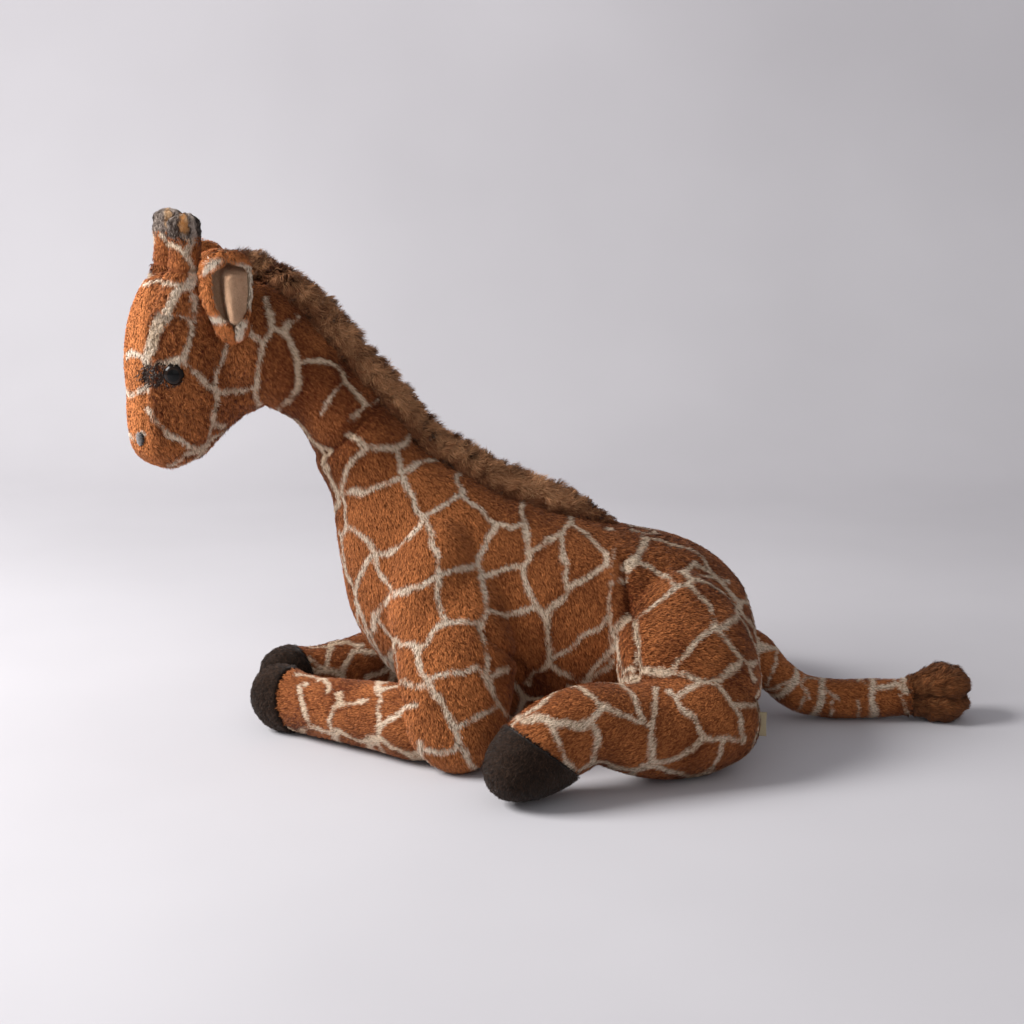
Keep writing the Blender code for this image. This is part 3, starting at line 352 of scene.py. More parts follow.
# Cream lines that show in the picture, in its pixels: a width class, then x and y in turn
HEAD_LINES = (
    (1, 186, 358, 189, 342, 191, 328, 190, 318, 180, 313),
    (1, 184, 359, 188, 365, 191, 370, 200, 379, 208, 386, 215, 391),
    (1, 228, 341, 222, 356, 217, 370, 214, 383, 215, 391),
    (1, 215, 391, 226, 392, 239, 388, 253, 387, 257, 384),
    (1, 215, 391, 217, 401, 214, 412, 212, 423, 208, 435, 203, 445, 197, 449),
    (1, 212, 423, 222, 426), (1, 148, 411, 155, 421, 166, 430, 180, 440, 191, 446, 200, 447),
    (1, 200, 449, 189, 453, 180, 457, 172, 463), (1, 128, 355, 134, 353, 141, 355, 146, 359),
    (1, 127, 393, 135, 392, 149, 388), (1, 128, 438, 137, 435, 144, 433),
    (1, 162, 236, 170, 245, 179, 247, 184, 254, 189, 264, 194, 275),
    (1, 184, 233, 190, 239, 186, 253, 189, 264), (1, 146, 285, 156, 282, 169, 283, 184, 285),
    (1, 193, 295, 193, 306, 191, 320), (2, 145, 360, 156, 362, 166, 363, 177, 362, 184, 359),
    (3, 194, 275, 189, 284, 180, 291, 170, 306, 158, 327, 151, 346, 147, 361),
)
BODY_LINES = (
    (1, 248, 329, 256, 335, 263, 341, 262, 356, 259, 370, 256, 386, 257, 398, 260, 405),
    (1, 264, 300, 270, 314, 271, 325, 267, 335, 263, 341),
    (1, 271, 327, 283, 331, 288, 339, 294, 352, 299, 363, 299, 376, 297, 390, 288, 401, 280, 408),
    (1, 283, 331, 288, 322, 295, 317), (1, 299, 365, 309, 362, 320, 361, 330, 364, 338, 368, 343, 376),
    (1, 297, 419, 306, 429, 316, 442, 330, 450), (1, 330, 452, 326, 458, 327, 468, 331, 477),
    (0, 341, 384, 332, 396, 326, 405, 321, 414), (1, 343, 376, 345, 382, 350, 388, 356, 396, 363, 404),
    (0, 383, 398, 374, 402, 365, 406, 357, 413, 350, 421),
    (1, 350, 436, 358, 440, 366, 447, 381, 447, 396, 449, 405, 443, 414, 432),
    (1, 366, 447, 354, 459, 346, 473, 342, 485), (1, 396, 449, 400, 465, 402, 479, 403, 483),
    (1, 330, 467, 333, 487, 342, 491, 352, 492, 370, 488, 389, 484, 403, 480),
    (1, 400, 473, 415, 465, 431, 461, 441, 461, 457, 471), (1, 457, 467, 459, 483, 461, 497),
    (1, 403, 480, 413, 495, 419, 512, 423, 516), (1, 423, 516, 437, 509, 453, 500, 461, 497),
    (1, 461, 497, 474, 507, 486, 516, 496, 526), (1, 496, 526, 512, 527, 523, 524),
    (1, 522, 499, 521, 510, 523, 524), (1, 504, 493, 520, 499, 526, 502),
    (1, 496, 526, 486, 542, 480, 554, 478, 566),
    (1, 423, 516, 429, 532, 435, 550, 438, 568, 441, 574),
    (1, 441, 574, 457, 570, 468, 568, 478, 566), (1, 342, 489, 347, 507, 346, 526, 343, 536),
    (1, 346, 526, 360, 532, 370, 542, 376, 554),
    (1, 376, 554, 389, 552, 403, 545, 413, 536, 419, 528, 423, 516),
    (1, 376, 554, 366, 564, 360, 580, 357, 592), (1, 376, 554, 377, 570, 387, 580, 396, 594),
    (1, 396, 594, 413, 588, 429, 582, 438, 576), (1, 396, 594, 383, 605, 376, 615, 373, 637),
    (1, 438, 572, 438, 594, 440, 609, 444, 621),
    (1, 444, 621, 457, 620, 468, 622, 478, 623, 486, 611),
    (1, 478, 566, 482, 584, 485, 597, 486, 611),
    (1, 480, 578, 498, 572, 514, 567, 524, 564, 528, 556, 526, 538, 523, 524),
    (1, 486, 611, 504, 615, 520, 613, 530, 607),
    (1, 524, 564, 526, 582, 530, 597, 536, 607, 545, 615),
    (1, 526, 552, 540, 548, 551, 538, 561, 533, 570, 524),
    (1, 561, 533, 563, 552, 564, 570, 567, 588),
    (1, 545, 615, 553, 607, 567, 590, 583, 580, 595, 572, 606, 566),
    (1, 567, 516, 573, 526, 585, 534, 597, 546, 605, 554, 606, 566),
    (1, 342, 534, 348, 574, 356, 592, 368, 631),
    (1, 356, 600, 365, 621, 375, 640, 382, 655, 392, 672),
    (1, 377, 617, 388, 632, 396, 640, 405, 644, 419, 648),
    (1, 419, 648, 426, 644, 432, 634, 443, 623), (1, 419, 648, 420, 661, 424, 674, 427, 682),
    (1, 427, 682, 440, 675, 457, 672, 474, 669, 485, 672),
    (1, 396, 644, 392, 655, 393, 665, 398, 678, 409, 685, 427, 686),
    (1, 427, 684, 438, 699, 449, 716, 456, 728, 458, 739),
    (1, 456, 728, 470, 722, 483, 714, 495, 705),
    (1, 486, 613, 481, 623, 480, 632, 485, 648, 486, 672, 491, 693, 497, 705, 506, 714, 520, 719),
    (1, 485, 674, 495, 673, 506, 668), (1, 458, 739, 453, 749, 440, 752, 424, 750, 422, 743),
    (1, 422, 743, 423, 758, 430, 770), (1, 458, 741, 468, 756, 474, 768, 480, 775),
    (1, 422, 749, 415, 762), (1, 306, 686, 300, 687, 303, 703, 308, 720, 310, 726),
    (1, 302, 730, 310, 726, 320, 728, 333, 733, 335, 739),
    (1, 333, 733, 331, 720, 335, 709, 342, 705, 339, 695), (1, 342, 705, 354, 704, 365, 700),
    (1, 300, 676, 314, 678, 327, 681), (1, 327, 681, 328, 685, 329, 690),
    (1, 379, 701, 380, 712, 380, 724, 377, 741, 365, 749),
    (1, 380, 726, 394, 720, 407, 709, 416, 704), (1, 377, 741, 383, 749, 389, 759),
    (1, 379, 701, 378, 692, 377, 685, 388, 683, 400, 684),
    (1, 333, 644, 330, 655, 328, 667, 314, 663, 302, 661), (1, 365, 679, 375, 674, 386, 668),
    (1, 333, 644, 348, 644, 360, 646), (1, 544, 614, 548, 634, 550, 651, 549, 663),
    (1, 550, 661, 562, 652, 580, 638, 597, 628, 607, 620),
    (1, 549, 663, 560, 671, 572, 677, 584, 680), (1, 549, 665, 537, 671, 529, 681),
    (1, 584, 680, 597, 675, 609, 667, 613, 661),
    (0, 613, 551, 611, 567, 611, 587, 609, 602, 611, 618, 610, 634, 613, 651, 616, 663),
    (1, 611, 585, 619, 581, 625, 579), (1, 615, 632, 621, 626, 628, 617),
    (1, 613, 632, 619, 638, 620, 653, 624, 671, 633, 670),
    (1, 643, 538, 660, 542, 676, 547, 692, 551, 703, 561, 711, 575),
    (1, 637, 564, 650, 568, 664, 577, 674, 586, 678, 588),
    (1, 678, 588, 688, 588, 692, 580, 701, 577, 713, 578, 727, 582),
    (1, 678, 588, 666, 596, 654, 606, 643, 616, 633, 621),
    (1, 690, 588, 701, 596, 709, 608, 713, 620, 714, 628),
    (1, 715, 630, 727, 624, 737, 616, 739, 612),
    (1, 723, 583, 733, 600, 739, 612, 750, 624, 756, 642, 757, 659),
    (1, 714, 631, 701, 636, 688, 651, 678, 663, 671, 672),
    (1, 715, 631, 727, 642, 737, 655, 746, 665, 753, 679), (1, 746, 665, 755, 661),
    (1, 741, 663, 729, 673, 715, 683), (1, 671, 672, 686, 675, 701, 683, 715, 684),
    (1, 701, 684, 686, 691, 676, 699, 670, 693), (1, 676, 699, 686, 712, 697, 724, 703, 736),
    (1, 715, 684, 723, 693, 733, 704, 739, 716, 742, 732, 744, 738),
    (1, 733, 704, 743, 706, 756, 705), (1, 703, 737, 715, 739, 729, 737, 743, 740),
    (1, 723, 740, 719, 755, 713, 767, 711, 773), (1, 711, 768, 697, 775),
    (1, 703, 737, 692, 749, 678, 757, 664, 761, 648, 762, 639, 768),
    (1, 652, 724, 652, 740, 650, 761), (1, 656, 689, 655, 704, 652, 720, 650, 724),
    (1, 601, 706, 613, 712, 627, 718, 648, 724), (1, 572, 687, 582, 689, 592, 698, 601, 706),
    (1, 619, 684, 631, 693, 637, 704, 641, 718), (1, 552, 726, 558, 740, 566, 761, 578, 773),
    (1, 592, 724, 598, 736, 597, 747, 593, 759), (2, 645, 539, 641, 550, 636, 558),
    (3, 634, 560, 630, 565, 626, 570), (1, 632, 528, 643, 530, 654, 533), (1, 608, 530, 611, 530),
    (2, 671, 672, 654, 673, 641, 670, 638, 653, 637, 634, 633, 621),
    (2, 525, 722, 537, 717, 550, 724, 572, 725, 592, 723, 601, 712, 605, 708),
    (0, 776, 649, 775, 663, 770, 676, 766, 683),
    (0, 765, 688, 776, 688, 789, 682, 797, 679), (0, 806, 678, 799, 683, 806, 690, 809, 699),
    (0, 804, 699, 801, 707, 792, 711), (0, 806, 678, 820, 682, 826, 690, 833, 697, 838, 699),
    (0, 830, 702, 832, 709, 831, 718), (0, 857, 701, 858, 709, 857, 717),
    (0, 854, 679, 864, 683, 873, 689, 876, 690, 876, 697), (0, 889, 675, 894, 682, 897, 685),
    (0, 900, 695, 905, 704, 906, 713), (1, 873, 689, 885, 688, 895, 685, 906, 690),
    (1, 908, 676, 904, 683, 906, 690),
)
# Creases and seams that show on the cloth, drawn in, with painted shade in the pile along them: a
# depth in metres, then pixels
BODY_CREASES = (
    (0.0020, 320, 454, 334, 448, 345, 440, 353, 430, 366, 416, 384, 398),
    (0.0036, 622, 560, 624, 577, 628, 608, 635, 640, 638, 671),
    (0.0030, 478, 626, 494, 642, 512, 656, 524, 667),
    (0.0018, 804, 699, 840, 700, 876, 697, 911, 692),
    (0.0022, 329, 686, 348, 695, 373, 699, 417, 703),
)
HEAD_CREASES = (
    (0.0014, 147, 364, 146, 390, 146, 415, 145, 440),
)


def srgb(red, green, blue):
    """A shader colour from a colour's 8-bit screen values."""
    shares = [value / 255 for value in (red, green, blue)]
    return (*[value / 12.92 if value <= 0.04045 else ((value + 0.055) / 1.055) ** 2.4
              for value in shares], 1.0)


# Forms

def read_spine(rows, count):
    """A smooth curve through a spine's rows.  Squared radii are blended, so ends close round."""
    rows = np.array(rows, float)
    rows[:, 3:] **= 2
    steps = np.linalg.norm(np.diff(rows[:, :3], axis=0), axis=1)
    knots = np.concatenate(([0.0], np.cumsum(steps)))
    slopes = np.gradient(rows, knots, axis=0)
    places = knots[-1] * (1 - np.cos(np.linspace(0, math.pi, count))) / 2
    index = np.clip(np.searchsorted(knots, places, side="right") - 1, 0, len(knots) - 2)
    width = (knots[index + 1] - knots[index])[:, None]
    t = (places - knots[index])[:, None] / width
    read = ((2 * t**3 - 3 * t**2 + 1) * rows[index] + (t**3 - 2 * t**2 + t) * width * slopes[index]
            + (3 * t**2 - 2 * t**3) * rows[index + 1] + (t**3 - t**2) * width * slopes[index + 1])
    read[:, 3:] = np.sqrt(np.clip(read[:, 3:], 0, None))
    return read


def loft(rows, across, rings=70, sides=64):
    """Vertices and faces of a closed form through elliptical rings."""
    read = read_spine(rows, rings)
    across = np.array(across, float)
    along = np.gradient(read[:, :3], axis=0)
    along /= np.linalg.norm(along, axis=1)[:, None]
    wide = across - along * (along @ across)[:, None]
    wide /= np.linalg.norm(wide, axis=1)[:, None]
    high = np.cross(along, wide)
    turns = np.arange(sides) * 2 * math.pi / sides
    radii = np.maximum(read[:, 3:], 1e-5)
    verts = (read[:, None, :3]
             + wide[:, None] * (radii[:, 1, None] * np.cos(turns))[..., None]
             + high[:, None] * (radii[:, 0, None] * np.sin(turns))[..., None]).reshape(-1, 3)
    faces = [(i * sides + j, i * sides + (j + 1) % sides, (i + 1) * sides + (j + 1) % sides,
              (i + 1) * sides + j) for i in range(rings - 1) for j in range(sides)]
    faces += [tuple(range(sides))[::-1], tuple(range((rings - 1) * sides, rings * sides))]
    return verts, faces


def mirrored(form):
    """The same form on the other side of the toy."""
    verts, faces = form
    return verts * (1, -1, 1), [tuple(reversed(face)) for face in faces]


def placed(form, pose):
    """A form carried by a matrix."""
    verts, faces = form
    turn = np.array(pose)
    return verts @ turn[:3, :3].T + turn[:3, 3], faces


def flipped_rows(rows):
    return [(x, -y, z, high, wide) for x, y, z, high, wide in rows]


def raw_object(name, verts, faces):
    mesh = bpy.data.meshes.new(name)
    mesh.from_pydata([tuple(vert) for vert in verts], [], faces)
    form = bmesh.new()
    form.from_mesh(mesh)
    bmesh.ops.recalc_face_normals(form, faces=form.faces)
    form.to_mesh(mesh)
    form.free()
    made = bpy.data.objects.new(name, mesh)
    bpy.context.scene.collection.objects.link(made)
    return made


def joined(forms):
    """Several forms as one list of vertices and faces."""
    all_verts, all_faces, start = [], [], 0
    for verts, faces in forms:
        all_verts.append(verts)
        all_faces += [tuple(index + start for index in face) for face in faces]
        start += len(verts)
    return np.concatenate(all_verts), all_faces


def skin(name, forms, voxel=VOXEL, passes=6, depth=PILE_DEPTH):
    """One cloth skin round several forms, drawn in by the pile's depth."""
    raw = raw_object(name + "_raw", *joined(forms))
    remesh = raw.modifiers.new("cloth", "REMESH")
    remesh.mode = "VOXEL"
    remesh.voxel_size = voxel
    ease = raw.modifiers.new("ease", "SMOOTH")
    ease.factor = 0.5
    ease.iterations = passes
    graph = bpy.context.evaluated_depsgraph_get()
    mesh = bpy.data.meshes.new_from_object(raw.evaluated_get(graph))
    bpy.data.objects.remove(raw)
    mesh.name = name
    made = bpy.data.objects.new(name, mesh)
    bpy.context.scene.collection.objects.link(made)
    co, nor = points_of(mesh), normals_of(mesh)
    set_points(mesh, co - nor * depth)
    return made


def points_of(mesh):
    co = np.empty(len(mesh.vertices) * 3, np.float32)
    mesh.vertices.foreach_get("co", co)
    return co.reshape(-1, 3).astype(float)


def normals_of(mesh):
    nor = np.empty(len(mesh.vertices) * 3, np.float32)
    mesh.vertex_normals.foreach_get("vector", nor)
    return nor.reshape(-1, 3).astype(float)


def set_points(mesh, co):
    mesh.vertices.foreach_set("co", np.ascontiguousarray(co, np.float32).ravel())
    mesh.update()


def triangles_of(mesh):
    mesh.calc_loop_triangles()
    tri = np.empty(len(mesh.loop_triangles) * 3, np.int32)
    mesh.loop_triangles.foreach_get("vertices", tri)
    return tri.reshape(-1, 3)


def rest_on_floor(mesh):
    co = points_of(mesh)
    co[:, 2] = np.maximum(co[:, 2], FLOOR_REST)
    set_points(mesh, co)


# Noise and distances

class Waves:
    """Smooth noise from a few sine waves of one length."""

    def __init__(self, length, seed, count=14):
        rng = np.random.default_rng(seed)
        way = rng.normal(size=(count, 3))
        way /= np.linalg.norm(way, axis=1)[:, None]
        self.way = (way * 2 * math.pi / length * rng.uniform(0.7, 1.35, (count, 1))).T
        self.phase = rng.uniform(0, 2 * math.pi, count)
        self.scale = math.sqrt(2 / count)

    def __call__(self, points):
        return np.sin(points @ self.way + self.phase).sum(axis=1) * self.scale


def vector_waves(points, length, seed):
    return np.stack([Waves(length, seed + axis)(points) for axis in range(3)], axis=1)


def near_spot(points, spot, reach):
    """1 at a spot, falling off over a reach."""
    return np.exp(-(np.linalg.norm(points - spot, axis=1) / reach)**2)


def soft_step(value, low, high):
    share = np.clip((value - low) / (high - low), 0, 1)
    return share * share * (3 - 2 * share)


# Camera rays

FOCAL = CAMERA_LENS / SENSOR * PICTURE


def pixel_way(x, y):
    """The way from the camera through a pixel."""
    right = Vector((1, 0, 0))
    up = Vector((0, math.sin(CAMERA_PITCH), math.cos(CAMERA_PITCH)))
    ahead = Vector((0, math.cos(CAMERA_PITCH), -math.sin(CAMERA_PITCH)))
    half = PICTURE / 2
    return (ahead + right * (x - half) / FOCAL + up * (half - y) / FOCAL).normalized()


def tree_of(objects):
    verts, faces, start = [], [], 0
    for made in objects:
        co = points_of(made.data)
        verts += [tuple(place) for place in co]
        faces += [tuple(int(index) + start for index in tri) for tri in triangles_of(made.data)]
        start += len(co)
    return BVHTree.FromPolygons(verts, faces)


def on_skin(tree, pixels):
    """Where rays through pixels meet the skins."""
    found = []
    for x, y in pixels:
        place = tree.ray_cast(CAMERA_PLACE, pixel_way(x, y))[0]
        if place is not None:
            found.append(tuple(place))
    return np.array(found).reshape(-1, 3)


# Skins

def sided(rows, across):
    """A left form and its mirror image."""
    form = loft(rows, across)
    return {"left": form, "right": mirrored(form)}


LEFT_RIGHT = ("left", "right")
Y_WAY = (0, 1, 0)
haunch = sided(HAUNCH, (1, 0, 0))
shoulder = sided(SHOULDER, (1, 0, 0))
chest = sided(CHEST, (1, 0, 0))
shank_form = sided(SHANK, (0.4384, -0.8988, 0))
foreleg_form = sided(FORELEG, (-0.5375, -0.8433, 0))
horn_form = {"left": placed(loft(HORN, Y_WAY, 40, 32), HEAD_POSE),
             "right": placed(loft(flipped_rows(HORN), Y_WAY, 40, 32), HEAD_POSE)}

body = skin("body_cloth", [
    loft(TORSO, Y_WAY, 110, 96), loft(NECK, Y_WAY), loft(THROAT, Y_WAY),
    placed(loft(HEAD, Y_WAY), HEAD_POSE),
    *haunch.values(), *shoulder.values(), *chest.values(), *horn_form.values()])


def soften(made, spots):
    """Ease the cloth further round some spots, each a centre and a reach."""
    co = points_of(made.data)
    share = np.zeros(len(co))
    for *centre, reach in spots:
        share = np.maximum(share, near_spot(co, centre, reach))
    group = made.vertex_groups.new(name="soft")
    for level in range(1, 11):
        near = np.flatnonzero(np.round(share * 10) == level)
        group.add([int(index) for index in near], level / 10, "REPLACE")
    ease = made.modifiers.new("ease", "SMOOTH")
    ease.factor = 0.5
    ease.iterations = SOFTEN_PASSES
    ease.vertex_group = "soft"
    graph = bpy.context.evaluated_depsgraph_get()
    mesh = bpy.data.meshes.new_from_object(made.evaluated_get(graph))
    made.modifiers.clear()
    made.vertex_groups.clear()
    made.data = mesh


soften(body, [(x, y * sign, z, reach) for x, y, z, reach in SOFT_SPOTS for sign in (-1, 1)])
rest_on_floor(body.data)


def parted(name, form, seam, keep_ahead):
    """One side of a form cut by its seam's plane, with the cut closed."""
    place, way = seam
    verts, faces = form
    mesh = bpy.data.meshes.new(name)
    mesh.from_pydata([tuple(vert) for vert in verts], [], faces)
    cut = bmesh.new()
    cut.from_mesh(mesh)
    sign = -1 if keep_ahead else 1
    rim = bmesh.ops.bisect_plane(
        cut, geom=cut.verts[:] + cut.edges[:] + cut.faces[:], plane_co=place,
        plane_no=way * sign, clear_outer=True)["geom_cut"]
    bmesh.ops.holes_fill(cut, edges=[item for item in rim if isinstance(item, bmesh.types.BMEdge)])
    bmesh.ops.recalc_face_normals(cut, faces=cut.faces)
    cut.to_mesh(mesh)
    cut.free()
    verts = points_of(mesh)
    faces = [tuple(face.vertices) for face in mesh.polygons]
    bpy.data.meshes.remove(mesh)
    return verts, faces


def mirrored_plane(seam):
    place, way = seam
    return Vector((place.x, -place.y, place.z)), Vector((way.x, -way.y, way.z))


legs, hooves = {}, {}
for side in LEFT_RIGHT:
    for limb, form, seam in (("shank", shank_form, HIND_SEAM), ("foreleg", foreleg_form, FORE_SEAM)):
        plane = seam if side == "left" else mirrored_plane(seam)
        name = limb + "_" + side
        legs[name] = skin(name + "_cloth", [parted(name, form[side], plane, False)])
        rest_on_floor(legs[name].data)
        hoof = ("hind_hoof_" if limb == "shank" else "front_hoof_") + side
        hooves[hoof] = skin(hoof + "_cloth", [parted(hoof, form[side], plane, True)],
                            voxel=0.0018, passes=8, depth=0.0008)
        rest_on_floor(hooves[hoof].data)
tail_form = loft(TAIL, Y_WAY, 80, 48)
tail = skin("tail_cloth", [parted("tail", tail_form, TAIL_SEAM, False)], voxel=0.002)
rest_on_floor(tail.data)

CLOTH = [body, *legs.values(), tail]
SKINS = tree_of(CLOTH)


# Pattern

def head_mirror(points):
    """Points carried to the other side of the head."""
    turn = np.array(HEAD_POSE)
    local = (points - turn[:3, 3]) @ turn[:3, :3]
    return (local * (1, -1, 1)) @ turn[:3, :3].T + turn[:3, 3]


def body_mirror(points):
    """Points carried to the other side of the body."""
    return points * (1, -1, 1)


def dense(flat):
    """Pixels along a line given as x and y in turn."""
    knots = np.array(flat, float).reshape(-1, 2)
    found = []
    for one, two in zip(knots, knots[1:]):
        count = max(int(np.linalg.norm(two - one) / LINE_STEP), 1)
        found += [one + (two - one) * step / count for step in range(count)]
    found.append(knots[-1])
    return found


def traced(flat):
    """A pixel line carried onto the skins, as runs of places without a jump."""
    runs, run = [], []
    for place in on_skin(SKINS, dense(flat)):
        if run and np.linalg.norm(place - run[-1]) > LINE_BREAK:
            runs.append(np.array(run))
            run = []
        run.append(place)
    if run:
        runs.append(np.array(run))
    return runs


def filled(run, step=0.0012):
    """Places every step along a run."""
    found = [run[:1]]
    for one, two in zip(run, run[1:]):
        count = max(int(np.linalg.norm(two - one) / step), 1)
        found.append(one + (two - one) * (np.arange(1, count + 1) / count)[:, None])
    return np.concatenate(found)


def kd_tree(points):
    tree = KDTree(len(points))
    for index, place in enumerate(points):
        tree.insert(place, index)
    tree.balance()
    return tree


def nearest_gap(tree, points):
    """Distance of each point from a tree's nearest place."""
    find = tree.find
    return np.array([find(place)[2] for place in points])


def read_lines():
    """The traced cream lines as search trees by half width."""
    found = {}
    for lines, mirror in ((HEAD_LINES, head_mirror), (BODY_LINES, body_mirror)):
        for width, *flat in lines:
            for run in traced(flat):
                near = filled(run)
                far = mirror(near[near[:, 1] < 0.02])
                found.setdefault(LINE_HALVES[width], []).extend([near, far])
                if width:
                    ends = run[[0, -1]]
                    found.setdefault(JOINT_HALF, []).extend([ends, mirror(ends)])
    return [(half, kd_tree(np.concatenate(places))) for half, places in found.items()]


def read_creases():
    """The creases as one search tree, with each place's depth."""
    found, depths = [], []
    for lines, mirror in ((HEAD_CREASES, head_mirror), (BODY_CREASES, body_mirror)):
        for depth, *flat in lines:
            near = np.concatenate([filled(run) for run in traced(flat)])
            found += [near, mirror(near)]
            depths += [depth] * (2 * len(near))
    return kd_tree(np.concatenate(found)), np.array(depths)


def nearest_crease(points):
    """Distance from the nearest crease, and how deep that is."""
    tree, depths = CREASES
    near = [tree.find(place) for place in points]
    return np.array([item[2] for item in near]), depths[[item[1] for item in near]]


def shows(places):
    """Whether the camera sees each place."""
    seen = []
    for place in places:
        way = (Vector(place) - CAMERA_PLACE).normalized()
        hit = SKINS.ray_cast(CAMERA_PLACE, way)[0]
        seen.append(hit is not None and (hit - Vector(place)).length < 0.008)
    return np.array(seen)


def scatter(mesh, count, rng):
    """Random places on a mesh, with their normals."""
    co, nor, tri = points_of(mesh), normals_of(mesh), triangles_of(mesh)
    one, two, three = co[tri[:, 0]], co[tri[:, 1]], co[tri[:, 2]]
    area = np.linalg.norm(np.cross(two - one, three - one), axis=1)
    pick = np.searchsorted(np.cumsum(area), rng.random(count) * area.sum())
    pick = np.minimum(pick, len(tri) - 1)
    a, b = rng.random((2, count))
    swap = a + b > 1
    a[swap], b[swap] = 1 - a[swap], 1 - b[swap]
    shares = np.stack([1 - a - b, a, b], axis=1)[..., None]
    corners = tri[pick]
    places = (co[corners] * shares).sum(axis=1)
    ways = (nor[corners] * shares).sum(axis=1)
    return places, ways / np.linalg.norm(ways, axis=1)[:, None]


def on_head(points):
    """Whether each point belongs to the head or the upper neck."""
    return (points - np.array(NECK_SEAM)) @ np.array(NECK_WAY) > 0.06


def find_patches():
    """The middle of every patch, and whether the picture shows its edges."""
    head = on_skin(SKINS, HEAD_PATCHES)
    near = on_skin(SKINS, BODY_PATCHES)
    found = list(np.concatenate([head, near, head_mirror(head), body_mirror(near)]))
    known = len(found)
    rng = np.random.default_rng(5)
    spots = np.concatenate([scatter(made.data, 1600, rng)[0] for made in CLOTH])
    rng.shuffle(spots)
    opposite = np.where(on_head(spots)[:, None], head_mirror(spots), body_mirror(spots))
    for place in spots[~shows(spots) & ~shows(opposite)]:
        if np.linalg.norm(np.array(found) - place, axis=1).min() > PATCH_APART:
            found.append(place)
    return np.array(found, np.float32), np.arange(len(found)) >= known


LINES = read_lines()
CREASES = read_creases()
PATCHES, UNSEEN = find_patches()


def unseen_edge(points):
    """Distance from the edge between two patches, where the picture shows neither."""
    gap = np.full(len(points), 1.0)
    for start in range(0, len(points), 40000):
        part = points[start:start + 40000].astype(np.float32)
        square = ((part**2).sum(axis=1)[:, None] + (PATCHES**2).sum(axis=1)
                  - 2 * part @ PATCHES.T)
        order = np.argpartition(square, 4, axis=1)[:, :4]
        near = np.take_along_axis(square, order, axis=1)
        rank = np.argsort(near, axis=1)
        order = np.take_along_axis(order, rank, axis=1)
        near = np.take_along_axis(near, rank, axis=1)
        own = PATCHES[order[:, 0]]
        blend = np.zeros(len(part))
        for other in range(1, 4):
            apart = np.linalg.norm(PATCHES[order[:, other]] - own, axis=1)
            edge = (near[:, other] - near[:, 0]) / (2 * np.maximum(apart, 1e-4))
            shown = ~(UNSEEN[order[:, 0]] | UNSEEN[order[:, other]])
            blend += np.exp(-edge / EDGE_BLEND) * ~shown
        gap[start:start + 40000] = -EDGE_BLEND * np.log(np.maximum(blend, 1e-9))
    return gap


def pattern(points):
    """How cream each point is, and how near it lies to its patch's edge."""
    warped = points + vector_waves(points, 0.022, 40) * 0.0009
    over = unseen_edge(warped) - LINE_HALVES[1]
    for half, tree in LINES:
        over = np.minimum(over, nearest_gap(tree, warped) - half)
    over += Waves(0.0045, 71)(points) * 0.0003
    cream = 1 - soft_step(over, -LINE_EDGE, LINE_EDGE)
    return cream, (1 - soft_step(over, 0.001, PATCH_RIM)) * (1 - cream)


def press_creases(made):
    """Draw the cloth in along its seams and creases."""
    co, nor = points_of(made.data), normals_of(made.data)
    gap, depth = nearest_crease(co)
    deep = depth * np.exp(-(gap / CREASE_REACH * 2)**2)
    puff = depth * 0.4 * np.exp(-((gap - 2 * CREASE_REACH) / CREASE_REACH)**2)
    set_points(made.data, co - nor * (deep - puff)[:, None])


# Strands

